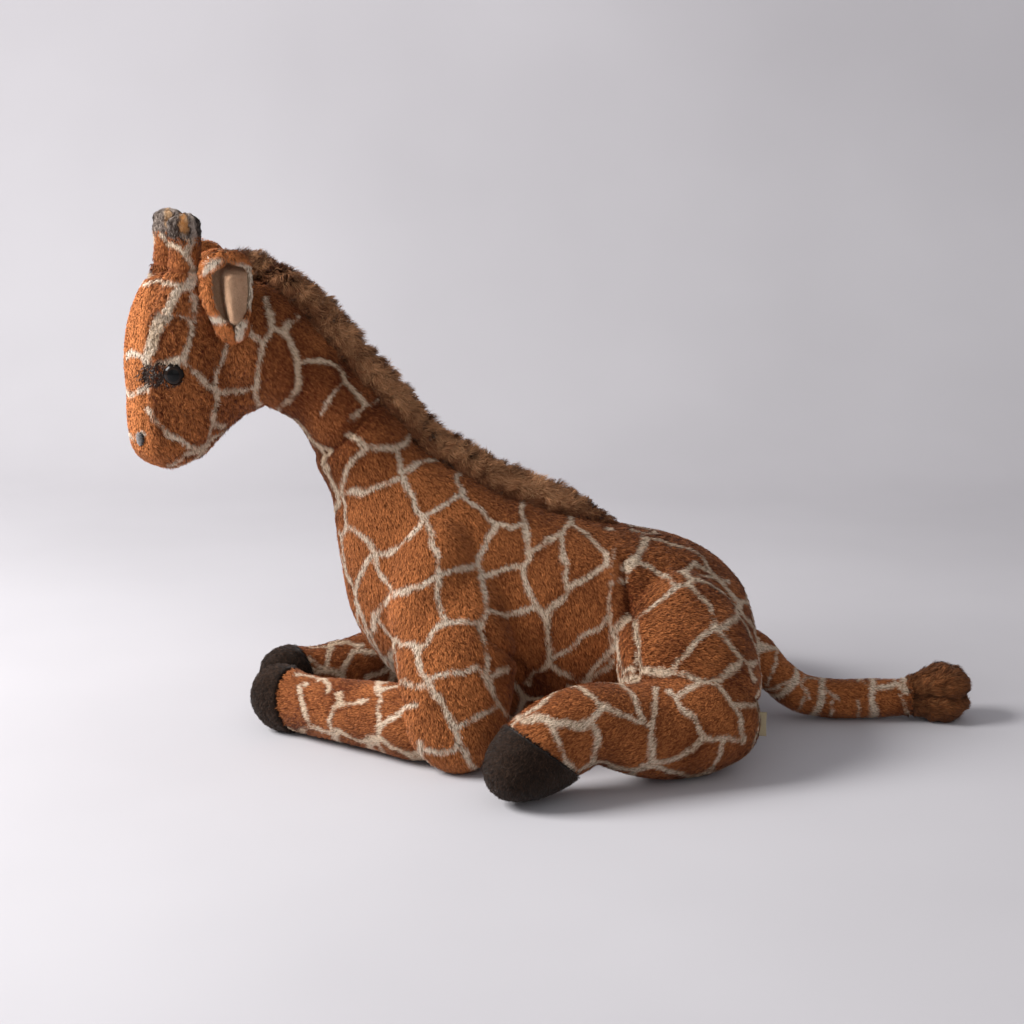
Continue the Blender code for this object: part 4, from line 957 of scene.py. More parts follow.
def strand_mesh(name, lines, half, tapers, facing, cream, tint, material):
    """A mesh of flat strands, each through a row of places.

    A taper of 0 closes the strand to a point there, and it is lit as if it faced as given.
    The map keeps strands of one colour together.
    """
    count, rows = lines.shape[:2]
    parts, ups, columns, groups = [], [], [], []
    for row, taper in enumerate(tapers):
        up = row / (rows - 1)
        if taper == 0:
            groups.append([len(parts)])
            parts.append(lines[:, row])
            ups.append(up)
            columns.append(0.5)
        else:
            groups.append([len(parts), len(parts) + 1])
            parts += [lines[:, row] - half * taper, lines[:, row] + half * taper]
            ups += [up, up]
            columns += [0.08, 0.92]
    tris = []
    for low, high in zip(groups, groups[1:]):
        if len(low) == 1:
            tris.append((low[0], high[1], high[0]))
        elif len(high) == 1:
            tris.append((low[0], low[1], high[0]))
        else:
            tris += [(low[0], low[1], high[1]), (low[0], high[1], high[0])]
    per = len(parts)
    verts = np.stack(parts, axis=1).reshape(-1, 3)
    faces = (np.array(tris)[None] + (np.arange(count) * per)[:, None, None]).reshape(-1, 3)
    mesh = bpy.data.meshes.new(name)
    mesh.vertices.add(count * per)
    mesh.vertices.foreach_set("co", verts.reshape(-1).astype(np.float32))
    mesh.loops.add(len(faces) * 3)
    mesh.loops.foreach_set("vertex_index", faces.reshape(-1).astype(np.int32))
    mesh.polygons.add(len(faces))
    mesh.polygons.foreach_set("loop_start", np.arange(0, len(faces) * 3, 3, dtype=np.int32))
    mesh.update(calc_edges=True)
    mesh.shade_smooth()
    mesh.normals_split_custom_set_from_vertices(np.repeat(facing, per, axis=0).astype(np.float32))
    for key, value in (("cream", np.repeat(cream, per)), ("tint", np.repeat(tint, per)),
                       ("up", np.tile(ups, count))):
        layer = mesh.attributes.new(key, "FLOAT", "POINT")
        layer.data.foreach_set("value", value.astype(np.float32))
    shade = np.floor(np.clip(cream, 0, 1) * 19) * 32 + np.floor(np.clip(tint, 0, 1) * 31)
    u = (shade[:, None] + np.array(columns)[None]) / MAP_COLUMNS
    v = np.tile(0.02 + 0.96 * np.array(ups), (count, 1))
    places = np.stack([u, v], axis=2).reshape(-1, 2)[faces.reshape(-1)]
    mesh.uv_layers.new(name="OFBake").data.foreach_set("uv", places.reshape(-1).astype(np.float32))
    mesh.materials.append(material)
    made = bpy.data.objects.new(name, mesh)
    bpy.context.scene.collection.objects.link(made)
    return made


def unit(ways):
    return ways / np.maximum(np.linalg.norm(ways, axis=1), 1e-6)[:, None]


def pile(name, places, normals, flow, rng, material, length=0.0045, width=0.00055, ruffle=0.5,
         cream=None, rise=0.34, clump=0.0, tapers=(0, 1, 0), shade=0.0, lock=0.0046, curl=0.0,
         wild=0.14):
    """Pile on a cloth: leaning strands that gather into locks."""
    count = len(places)
    flow = unit(flow - normals * (flow * normals).sum(axis=1)[:, None])
    ruffle = np.broadcast_to(ruffle, count)
    length = np.broadcast_to(length, count) * rng.uniform(0.7, 1.2, count)
    swirl = vector_waves(places, lock, 200) * 0.50 + vector_waves(places, lock * 3, 300) * 0.35
    lean = flow + swirl * ruffle[:, None] + rng.normal(size=(count, 3)) * wild
    lean = unit(lean - normals * (lean * normals).sum(axis=1)[:, None])
    lift = rise + 0.22 * ruffle * Waves(lock * 1.3, 410)(places) + rng.normal(size=count) * 0.08
    lift = np.clip(lift, 0.12, 0.98)
    reach = np.sqrt(1 - lift**2)
    tips = places + (normals * lift[:, None] + lean * reach[:, None]) * length[:, None]
    if clump:
        picked = rng.choice(count, max(count // 16, 1), replace=False)
        find = kd_tree(places[picked]).find
        owner = picked[[find(place)[1] for place in places]]
        tips += (tips[owner] - tips) * (clump * rng.uniform(0.5, 1, count))[:, None]
    bend = normals * (length * 0.16)[:, None]
    shares = np.linspace(0, 1, len(tapers))
    lines = np.stack([places + (tips - places) * share + bend * math.sin(math.pi * share)
                      for share in shares], axis=1)
    if curl:
        for row, share in enumerate(shares[1:], 1):
            lines[:, row] += vector_waves(places + row, lock * 0.8, 600) * curl * share
    half = unit(np.cross(lean, normals) + rng.normal(size=(count, 3)) * 0.30)
    half *= (width / 2 * rng.uniform(0.7, 1.25, count))[:, None]
    if cream is None:
        cream, rim = pattern((places + tips) / 2 + rng.normal(size=(count, 3)) * LINE_FRAY)
        shade = shade + RIM_SHADE * rim
    tint = 0.5 + 0.20 * Waves(lock, 500)(places) * ruffle + 0.08 * Waves(0.05, 510)(places)
    calm = 1 - 0.5 * cream
    tint = np.clip(tint - shade + rng.normal(size=count) * 0.16 * calm, 0, 1)
    lines[..., 2] = np.maximum(lines[..., 2], FLOOR_REST * 0.5)
    stray = ((0.15 + 0.24 * ruffle) * calm)[:, None]
    facing = unit(normals + lean * 0.35 * ruffle[:, None] + rng.normal(size=(count, 3)) * stray)
    return strand_mesh(name, lines, half, tapers, facing, cream, tint, material)


# Materials

def node(tree, kind, inputs=None, **settings):
    made = tree.nodes.new("ShaderNode" + kind)
    for key, value in settings.items():
        setattr(made, key, value)
    for key, value in (inputs or {}).items():
        if isinstance(value, bpy.types.NodeSocket):
            tree.links.new(value, made.inputs[key])
        else:
            made.inputs[key].default_value = value
    return made


def read(tree, name):
    return node(tree, "Attribute", attribute_name=name).outputs["Fac"]


def mix(tree, share, one, two, kind="MIX"):
    made = node(tree, "MixRGB", {"Fac": share, "Color1": one, "Color2": two}, blend_type=kind)
    return made.outputs["Color"]


def ramp(tree, share, stops):
    made = node(tree, "ValToRGB", {"Fac": share})
    points = made.color_ramp.elements
    while len(points) < len(stops):
        points.new(0.5)
    for point, (place, colour) in zip(points, stops):
        point.position = place
        point.color = colour
    return made.outputs["Color"]


def fabric(name, **sockets):
    made = bpy.data.materials.new(name)
    made.use_nodes = True
    tree = made.node_tree
    base = tree.nodes["Principled BSDF"]
    values = {"Roughness": 0.85, "Specular IOR Level": 0.12, "Sheen Weight": 0.06,
              "Sheen Roughness": 0.5}
    values.update({key.replace("_", " "): value for key, value in sockets.items()})
    for key, value in values.items():
        base.inputs[key].default_value = value
    return made, tree, base


def pile_material(name, dark, light, cream_dark, cream_light, root=0.5):
    """Strands: brown or cream, lighter towards the tip as painted shade deep in the pile, each with
    its own tint.
    """
    made, tree, base = fabric(name)
    tint, cream, up = read(tree, "tint"), read(tree, "cream"), read(tree, "up")
    brown = mix(tree, tint, dark, light)
    pale = mix(tree, tint, cream_dark, cream_light)
    colour = mix(tree, cream, brown, pale)
    # Painted shade: darker towards the root, deep in the pile
    shade = ramp(tree, up, ((0.0, (root, root, root, 1)), (0.6, (0.92, 0.92, 0.92, 1)),
                            (1.0, (1, 1, 1, 1))))
    tree.links.new(mix(tree, 1.0, colour, shade, "MULTIPLY"), base.inputs["Base Color"])
    return made


def bumped(tree, base, height, strength, distance):
    bump = node(tree, "Bump", {"Height": height, "Strength": strength, "Distance": distance})
    tree.links.new(bump.outputs["Normal"], base.inputs["Normal"])


def cloth_material(name, dark, light, pale_dark, pale_light):
    """The backing under the pile: the same colours, matt and uneven."""
    made, tree, base = fabric(name)
    place = node(tree, "TexCoord").outputs["Object"]
    grain = node(tree, "TexNoise", {"Vector": place, "Scale": 420.0, "Detail": 3.0}).outputs["Fac"]
    brown = mix(tree, grain, dark, light)
    pale = mix(tree, grain, pale_dark, pale_light)
    tree.links.new(mix(tree, read(tree, "cream"), brown, pale), base.inputs["Base Color"])
    bumped(tree, base, grain, 0.5, 0.001)
    return made


def velour_material(name, dark, light, scale=900.0):
    """Short dense nap with a soft sweep of tone."""
    made, tree, base = fabric(name, Sheen_Weight=0.2)
    place = node(tree, "TexCoord").outputs["Object"]
    nap = node(tree, "TexNoise", {"Vector": place, "Scale": scale, "Detail": 4.0}).outputs["Fac"]
    sweep = node(tree, "TexNoise", {"Vector": place, "Scale": 60.0, "Detail": 2.0}).outputs["Fac"]
    both = node(tree, "Math", {0: nap, 1: 0.5, 2: 0.0}, operation="MULTIPLY_ADD")
    half = node(tree, "Math", {0: sweep, 1: 0.5, 2: both.outputs[0]}, operation="MULTIPLY_ADD")
    tone = ramp(tree, half.outputs[0], ((0.3, dark), (0.7, light)))
    tree.links.new(tone, base.inputs["Base Color"])
    bumped(tree, base, nap, 0.4, 0.0006)
    return made


def thread_material(name, dark, light):
    made, tree, base = fabric(name, Roughness=0.45, Specular_IOR_Level=0.4)
    tree.links.new(mix(tree, read(tree, "tint"), dark, light), base.inputs["Base Color"])
    place = node(tree, "TexCoord").outputs["Object"]
    ply = node(tree, "TexWave", {"Vector": place, "Scale": 900.0, "Distortion": 1.0})
    bumped(tree, base, ply.outputs["Fac"], 0.35, 0.0002)
    return made


def eye_material(name):
    """Polished black with a dark brown ring, brighter at its rim."""
    made, tree, base = fabric(name, Roughness=0.16, Specular_IOR_Level=0.20, Sheen_Weight=0.0)
    ring = read(tree, "ring")
    tone = ramp(tree, ring, ((0.0, srgb(6, 6, 7)), (0.52, srgb(8, 7, 7)), (0.62, srgb(34, 22, 15)),
                             (0.85, srgb(22, 15, 11)), (1.0, srgb(7, 7, 7))))
    tree.links.new(tone, base.inputs["Base Color"])
    return made


def woven_material(name, dark, light):
    """Narrow woven tape: fine crossed ribs."""
    made, tree, base = fabric(name, Sheen_Weight=0.1)
    place = node(tree, "TexCoord").outputs["Object"]
    ribs = []
    for way in ("X", "Z"):
        ribs.append(node(tree, "TexWave", {"Vector": place, "Scale": 420.0, "Distortion": 0.4},
                         bands_direction=way).outputs["Fac"])
    weave = node(tree, "Math", {0: ribs[0], 1: ribs[1]}, operation="MULTIPLY").outputs[0]
    tree.links.new(mix(tree, weave, dark, light), base.inputs["Base Color"])
    bumped(tree, base, weave, 0.4, 0.0003)
    return made


def moulded_material(name, dark, light):
    made, tree, base = fabric(name, Roughness=0.5, Specular_IOR_Level=0.4, Sheen_Weight=0.0)
    place = node(tree, "TexCoord").outputs["Object"]
    grain = node(tree, "TexNoise", {"Vector": place, "Scale": 300.0, "Detail": 2.0}).outputs["Fac"]
    tree.links.new(mix(tree, grain, dark, light), base.inputs["Base Color"])
    bumped(tree, base, grain, 0.15, 0.0002)
    return made


BROWN_DARK, BROWN_LIGHT = srgb(93, 38, 13), srgb(227, 141, 82)
CREAM_DARK, CREAM_LIGHT = srgb(220, 190, 157), srgb(255, 236, 213)
plush_pile = pile_material("plush_pile", BROWN_DARK, BROWN_LIGHT, CREAM_DARK, CREAM_LIGHT)
plush_cloth = cloth_material("plush_cloth", srgb(108, 56, 27), srgb(140, 78, 40),
                             srgb(150, 128, 104), srgb(176, 154, 130))
mane_fibre = pile_material("mane_fibre", srgb(122, 74, 48), srgb(232, 168, 118),
                           srgb(196, 136, 90), srgb(240, 196, 150), root=0.45)
tuft_fibre = pile_material("tuft_fibre", srgb(72, 38, 20), srgb(156, 94, 54),
                           srgb(124, 82, 48), srgb(174, 128, 86), root=0.4)
hoof_pile = pile_material("hoof_pile", srgb(24, 16, 11), srgb(74, 54, 42),
                          srgb(50, 36, 27), srgb(70, 54, 42), root=0.5)
tip_fibre = pile_material("horn_tip_fibre", srgb(48, 34, 27), srgb(214, 194, 180),
                          srgb(190, 130, 76), srgb(250, 228, 190), root=0.6)
ear_nap = pile_material("ear_nap", srgb(196, 152, 118), srgb(248, 210, 172),
                        srgb(190, 160, 132), srgb(204, 174, 146), root=0.7)
lash_fibre = pile_material("lash_fibre", srgb(18, 13, 11), srgb(62, 44, 35),
                           srgb(120, 112, 106), srgb(150, 142, 136), root=0.8)
hoof_cloth = velour_material("hoof_cloth", srgb(24, 16, 11), srgb(46, 33, 24))
ear_lining = velour_material("ear_lining", srgb(186, 144, 112), srgb(226, 184, 150))
mane_core = velour_material("mane_core", srgb(46, 28, 14), srgb(78, 50, 27))
nose_thread = thread_material("nose_thread", srgb(34, 32, 33), srgb(176, 170, 168))
eye_gloss = eye_material("eye_gloss")
label_tape = woven_material("label_tape", srgb(150, 136, 108), srgb(192, 178, 148))
washer_mould = moulded_material("washer_mould", srgb(214, 214, 210), srgb(228, 228, 224))


# Pile on the skins

def finish_cloth(made, material):
    mesh = made.data
    mesh.materials.clear()
    mesh.materials.append(material)
    mesh.shade_smooth()


def paint(made):
    cream = pattern(points_of(made.data))[0]
    layer = made.data.attributes.new("cream", "FLOAT", "POINT")
    layer.data.foreach_set("value", cream.astype(np.float32))
    finish_cloth(made, plush_cloth)


for made in CLOTH:
    press_creases(made)
    paint(made)

rng = np.random.default_rng(11)
HEAD_TURN = np.array(HEAD_POSE)


def head_local(points):
    return (points - HEAD_TURN[:3, 3]) @ HEAD_TURN[:3, :3]


def away(points, centres, reach):
    """True for points farther than reach from every centre."""
    keep = np.ones(len(points), bool)
    for centre in centres:
        keep &= np.linalg.norm(points - np.array(centre), axis=1) > reach
    return keep


def body_mirrored(points):
    """The points and their mirror images."""
    return np.concatenate([points, body_mirror(points)])


def body_flow(on_rump, on_neck, is_head, on_horn):
    """The way the pile lies on each part of the body's skin."""
    flow = np.array(FLANK_FLOW)
    for share, way in ((on_rump, RUMP_FLOW), (on_neck, NECK_FLOW), (is_head, FACE_FLOW)):
        flow = flow * (1 - share[:, None]) + np.array(way) * share[:, None]
    flow[on_horn] = HORN_FLOW
    return flow


def body_ruffle(places, is_head, face_front, on_horn):
    """How unruly the pile is: most on the head's sides, less on the face, more on limb roots."""
    on_limb_root = (soft_step(places[:, 0], 0.045, 0.065)
                    + soft_step(-places[:, 0], 0.045, 0.060) * (places[:, 2] < 0.17)
                    * soft_step(np.abs(places[:, 1]), 0.075, 0.095))
    ruffle = 0.22 + 0.56 * is_head * (1 - face_front) + 0.20 * np.clip(on_limb_root, 0, 1)
    ruffle -= 0.14 * face_front
    ruffle[on_horn] = 0.2
    return ruffle


def darken_spots(shade, places):
    """Painted shadow behind the elbows, and darker pile under the lashes."""
    for spot in body_mirrored(on_skin(SKINS, ARMPIT)):
        shade += ARMPIT_SHADE * near_spot(places, spot, ARMPIT_REACH)
    lash_spot = on_skin(SKINS, [LASH_MIDDLE])[0]
    for spot in (lash_spot, head_mirror(lash_spot[None])[0]):
        shade += LASH_SHADE * near_spot(places, spot, LASH_SHADE_REACH)


def body_zones(places, above_seam, is_head, on_tip):
    """Which strands belong to each zone of the body's pile."""
    on_body = above_seam <= NECK_PILE_FROM
    x = places[:, 0]
    return {
        "head": (above_seam > 0) & (is_head > 0.5) & ~on_tip,
        "neck": (above_seam > NECK_PILE_FROM) & (is_head <= 0.5),
        "chest": on_body & (x < CHEST_END),
        "flank": on_body & (x >= CHEST_END) & (x < RUMP_START),
        "rump": on_body & (x >= RUMP_START),
    }


def cover_body():
    """Pile over the body, the neck and the head, in pieces."""
    places, normals = scatter(body.data, BODY_STRANDS, rng)
    keep = away(places, EYE_PLACES, EYE_RADIUS * 0.72) & away(places, NOSE_PLACES, NOSE_HALF[0])
    places, normals = places[keep], normals[keep]
    local = head_local(places)
    above_seam = (places - np.array(NECK_SEAM)) @ np.array(NECK_WAY)
    is_head = soft_step(-places[:, 0], 0.235, 0.275) * (above_seam > 0)
    on_neck = soft_step(above_seam, -0.10, 0.05)
    on_rump = soft_step(places[:, 0], 0.04, 0.07)
    on_front = soft_step(-places[:, 0], 0.040, 0.070) * (1 - on_neck)
    on_horn = (local[:, 2] > 0.178) & (is_head > 0.5)
    face_front = soft_step(-local[:, 0] - 0.55 * np.abs(local[:, 1]), 0.016, 0.034) * is_head
    gap, depth = nearest_crease(places)
    # Painted shade along the creases, as strong as the crease is deep
    crease = np.exp(-(gap / 0.0035)**2) * depth / CREASE_DEPTH
    flow = body_flow(on_rump, on_neck, is_head, on_horn)
    ruffle = body_ruffle(places, is_head, face_front, on_horn)
    length = 0.0045 - 0.0016 * face_front + 0.0009 * is_head * (1 - face_front)
    length *= 1 - 0.45 * crease
    length[on_horn] = 0.0040
    width = 0.00055 + 0.0003 * face_front
    # Painted shade in the creases, on the neck's sides and on the rump; painted light on the face's
    # front and the chest
    shade = (CREASE_SHADE * crease + FACE_SHADE * face_front + RUMP_SHADE * on_rump
             + CHEST_SHADE * on_front)
    shade += NECK_SHADE * on_neck * (1 - is_head)
    darken_spots(shade, places)
    on_tip = on_horn & (local[:, 2] > HORN_TIP_FROM + 0.004)
    pieces = []
    for zone, inside in body_zones(places, above_seam, is_head, on_tip).items():
        middle = HEAD_MIDDLE if zone == "head" else 0.0
        for side in LEFT_RIGHT:
            mine = inside & ((places[:, 1] < middle) == (side == "left"))
            pieces.append(pile("pile_%s_%s" % (zone, side), places[mine], normals[mine], flow[mine],
                               rng, plush_pile, length=length[mine], width=width[mine],
                               ruffle=ruffle[mine], shade=shade[mine]))
    return pieces


def cover_limb(name, way, count):
    """Pile on a pair of lower legs."""
    for side in LEFT_RIGHT:
        made = legs[name + "_" + side]
        places, normals = scatter(made.data, count, rng)
        toward = np.array(way) * (1, 1 if side == "left" else -1, 1) + np.array((0, 0, -0.35))
        # Painted tone by limb: painted shade on the forelegs, none on the shanks
        fur = pile(name + "_pile_" + side, places, normals, np.tile(toward, (count, 1)), rng,
                   plush_pile, length=0.0040, ruffle=0.25, shade=LIMB_SHADES[name])
        for piece in (made, fur):
            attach(piece, name + "_" + side)
        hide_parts(name + "_" + side)


def cover_tail():
    places, normals = scatter(tail.data, TAIL_STRANDS, rng)
    # The tail's pile is painted lighter: painted light
    tail_fur = pile("tail_pile", places, normals, np.tile((1.0, 0, -0.3), (TAIL_STRANDS, 1)), rng,
                    plush_pile, length=0.0036, ruffle=0.25, shade=TAIL_SHADE)
    for piece in (tail, tail_fur):
        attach(piece, "tail")
    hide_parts("tail")


def cover_hooves():
    """Dark cloth and short nap on the hooves."""
    for hoof, made in hooves.items():
        finish_cloth(made, hoof_cloth)
        places, normals = scatter(made.data, HOOF_STRANDS, rng)
        fur = pile(hoof + "_nap", places, normals, np.tile((-0.4, 0, -0.8), (HOOF_STRANDS, 1)), rng,
                   hoof_pile, length=0.0030, width=0.0005, ruffle=0.5, cream=np.zeros(HOOF_STRANDS),
                   rise=0.5)
        limb = ("shank_" if hoof.startswith("hind") else "foreleg_") + hoof.rsplit("_", 1)[1]
        for piece in (made, fur):
            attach(piece, limb)
        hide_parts(hoof)


body_pieces = [body, *cover_body()]
cover_limb("shank", KNEE_WAY, SHANK_STRANDS)
cover_limb("foreleg", ELBOW_WAY, FORELEG_STRANDS)
cover_tail()
cover_hooves()

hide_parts("torso", "upper_neck", "head", "haunch_left", "haunch_right",
            "shoulder_left", "shoulder_right", "horn_left", "horn_right")
for piece in body_pieces:
    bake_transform(piece)


# Mane

def make_mane():
    """One ridge of long fibre up the back and the neck, over a dark core."""
    line = np.array(MANE_LOWER + MANE_UPPER)
    steps = np.linalg.norm(np.diff(line, axis=0), axis=1)
    share = np.concatenate(([0.0], np.cumsum(steps))) / steps.sum()
    fade = soft_step(share, -0.05, 0.16) * soft_step(1 - share, -0.03, 0.05)
    rows = [(*place, MANE_CORE_HEIGHT * level, MANE_CORE_HALF * level)
            for place, level in zip(line, np.maximum(fade, 0.15))]
    rows = [(*line[0], 0, 0), *rows[1:-1], (*line[-1], 0, 0)]
    core = skin("mane_core", [loft(rows, Y_WAY, 160, 32)], voxel=0.0022, passes=3, depth=0)
    finish_cloth(core, mane_core)
    places, normals = scatter(core.data, MANE_STRANDS, rng)
    find = SKINS.find_nearest
    clear = np.array([(Vector(place) - hit[0]).dot(hit[1]) for place in places
                      for hit in [find(place)]])
    keep = clear > -0.001
    places, normals = places[keep], normals[keep]
    tree = kd_tree(line)
    index = np.array([tree.find(place)[1] for place in places])
    along = -unit(np.gradient(line, axis=0))[index]
    # Painted shadow along the mane's lower edge, near the neck: darker and shorter fibre there
    low = 1 - soft_step(clear[keep], 0.002, 0.012)
    length = MANE_LENGTH * (0.55 + 0.45 * fade[index]) * (1 - 0.35 * low)
    pieces = [core]
    above = (places - np.array(NECK_SEAM)) @ np.array(NECK_WAY) > 0
    for name, mine in (("mane_back_fibre", ~above), ("mane_neck_fibre", above)):
        pieces.append(pile(name, places[mine], normals[mine], along[mine], rng, mane_fibre,
                           length=length[mine], width=0.00062, ruffle=0.6,
                           cream=np.clip(rng.normal(0.15, 0.2, mine.sum()), 0, 1), rise=0.68,
                           clump=0.30, tapers=(0, 1, 0.8, 0), shade=0.60 * low[mine], lock=0.010,
                           curl=0.0012, wild=0.30))
    for piece in pieces:
        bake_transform(piece)
    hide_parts("mane_neck", "mane_back")


# Tuft and horn tips

def make_tuft():
    """The tail's tuft: two lobes of fibre combed outward."""
    core = skin("tail_tuft_core", [parted("tuft", tail_form, TUFT_SEAM, True)], voxel=0.0018,
                passes=4, depth=0.0030)
    co = points_of(core.data)
    near = np.exp(-((co[:, 2] - TUFT_PARTING) / 0.0040)**2)
    near *= soft_step(co[:, 0], TAIL_SEAM[0].x + 0.004, TAIL_SEAM[0].x + 0.016)
    set_points(core.data, co - normals_of(core.data) * (near * TUFT_CLEFT)[:, None])
    finish_cloth(core, mane_core)
    places, normals = scatter(core.data, TUFT_STRANDS, rng)
    split = places[:, 2] > TUFT_PARTING
    flow = np.tile((1.0, 0.0, 0.0), (len(places), 1))
    flow += np.where(split, 0.14, -0.10)[:, None] * (0, 0, 1)
    reach = TAIL[-1][0] + 0.001 - places[:, 0]
    length = np.maximum(np.minimum(reach, 0.0100) * (1 - 0.4 * soft_step(reach, 0.040, 0.050)), 0.0035)
    # Painted shade in the parting
    cleft = np.exp(-((places[:, 2] - TUFT_PARTING) / 0.0030)**2)
    fibre = pile("tail_tuft_fibre", places, normals, flow, rng, tuft_fibre, length=length,
                 width=0.00065, ruffle=0.45, cream=np.clip(rng.normal(0.1, 0.2, len(places)), 0, 1),
                 rise=0.42, clump=0.25, tapers=(0, 1, 0.8, 0), shade=0.50 * cleft, lock=0.008,
                 curl=0.0006)
    for piece in (core, fibre):
        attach(piece, "tail")
    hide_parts("tail_tuft")


def make_horn_tips():
    """Soft grey-black pile over each horn's tip, golden in front and streaked with white."""
    for side in LEFT_RIGHT:
        rows = HORN_TIP if side == "right" else flipped_rows(HORN_TIP)
        core = skin("horn_tip_core_" + side, [placed(loft(rows, Y_WAY, 30, 24), HEAD_POSE)],
                    voxel=0.0016, passes=2, depth=0)
        finish_cloth(core, mane_core)
        places, normals = scatter(core.data, TIP_STRANDS, rng)
        level = head_local(places)[:, 2] + 0.0022 * Waves(0.009, 90)(places)
        level = soft_step(level, HORN_TIP_FROM - 0.006, HORN_TIP_FROM + 0.007)
        keep = rng.random(len(places)) < level
        places, normals = places[keep], normals[keep]
        local = head_local(places)
        across = (local[:, 0] - HORN_TIP[2][0]) / HORN_TIP[2][3]
        golden = soft_step(across, -0.55, -0.25) * (1 - soft_step(across, 0.0, 0.15))
        golden *= soft_step(local[:, 2], HORN_TIP_FROM + 0.004, HORN_TIP_FROM + 0.012)
        streak = soft_step(across, 0.10, 0.30) * (1 - soft_step(across, 0.48, 0.70))
        # Darker towards the rear edge: painted shade on the side away from the lamp
        shade = 0.30 - 0.5 * streak + 0.12 * soft_step(across, 0.5, 0.9)
        fibre = pile("horn_tip_fibre_" + side, places, normals,
                     np.tile((0.1, 0, 1.0), (len(places), 1)), rng, tip_fibre,
                     length=0.0042, width=0.0005, ruffle=0.5, cream=golden, rise=0.26,
                     clump=0.15, tapers=(0, 1, 0.8, 0), shade=shade, lock=0.006)
        for piece in (core, fibre):
            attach(piece, "head")
        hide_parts("horn_tip_" + side)


# Ears

def ear_surface(inset, lobe):
    """A grid of places on the left ear, in the head's frame, from its top down to its tip."""
    rows = []
    for share in np.linspace(0.0, 1.0, EAR_ROWS):
        closing = math.sqrt(max(1 - (max(EAR_HOOD - share, 0) / EAR_HOOD)**2, 0.0))
        ending = math.sqrt(max(1 - (max(share - EAR_END, 0) / (1 - EAR_END))**2, 0.0))
        narrow = 1 - 0.34 * soft_step(share, 0.45, 0.85)
        closing *= ending
        half = max((EAR_HALF * narrow - inset) * closing, 0.0003)
        deep = max((EAR_DEEP * (1 - 0.25 * soft_step(share, 0.6, 1.0)) - inset), 0.001)
        back = EAR_BACK + 0.010 * soft_step(share, 0.35, 0.95) + inset
        front_turn = 3.02 - 0.66 * soft_step(share, 0.10, 0.24) + 0.66 * soft_step(share, 0.66, 0.84)
        rear_turn = 3.02 - 1.32 * soft_step(share, 0.08, 0.24) + 1.32 * soft_step(share, 0.62, 0.84)
        height = EAR_TOP - EAR_HEIGHT * share
        row = []
        for turn in np.linspace(-front_turn, rear_turn, EAR_TURNS):
            out = back + deep - deep * closing * math.cos(turn)
            x = EAR_MIDDLE + 0.004 * soft_step(share, 0.5, 1.0) + half * math.sin(turn)
            if lobe:
                fold = soft_step(turn, -0.22, 0.12) * soft_step(share, 0.14, 0.30)
                fold *= 1 - soft_step(share, 0.74, 0.88)
                ridge = math.exp(-((turn - 0.42 - 0.15 * share) / 0.58)**2)
                out = max(out, back + fold * (0.0115 + 0.0120 * ridge))
                x -= fold * ridge * 0.0062
            row.append((x, -out, height))
        rows.append(row)
    return np.array(rows)


def grid_shell(outer, inner):
    """A closed thin body between two grids of the same size."""
    rows, turns = outer.shape[:2]
    verts = np.concatenate([outer.reshape(-1, 3), inner.reshape(-1, 3)])
    start = rows * turns
    faces = []
    for i in range(rows - 1):
        for j in range(turns - 1):
            a, b, c, d = i * turns + j, i * turns + j + 1, (i + 1) * turns + j + 1, (i + 1) * turns + j
            faces += [(a, b, c, d), (start + d, start + c, start + b, start + a)]
    ring = list(range(turns))
    ring += [i * turns + turns - 1 for i in range(1, rows)]
    ring += [(rows - 1) * turns + j for j in range(turns - 2, -1, -1)]
    ring += [i * turns for i in range(rows - 2, 0, -1)]
    for one, two in zip(ring, ring[1:] + ring[:1]):
        faces.append((one, two, start + two, start + one))
    return verts, faces


def ear_cream(rows, turns):
    """Cream along the rear rim, at the front corner, below the front flap and on the tip."""
    share = np.linspace(0, 1, rows)[:, None]
    turn = np.linspace(-1, 1, turns)[None]
    rear = (soft_step(turn, 0.84, 0.93) * soft_step(share, 0.10, 0.16)
            * (1 - soft_step(share, 0.60, 0.68)))
    corner = ((1 - soft_step(share, 0.20, 0.26)) * soft_step(share, 0.06, 0.10)
              * (1 - soft_step(turn, -0.80, -0.70)) * soft_step(turn, -0.97, -0.93))
    below = (soft_step(share, 0.66, 0.70) * (1 - soft_step(share, 0.74, 0.78))
             * (1 - soft_step(turn, -0.55, -0.40)))
    tip = (soft_step(share, 0.72, 0.77) * soft_step(turn, 0.76, 0.84)
           * (1 - soft_step(share, 0.92, 0.97)))
    return np.clip(rear + corner + below + tip, 0, 1)


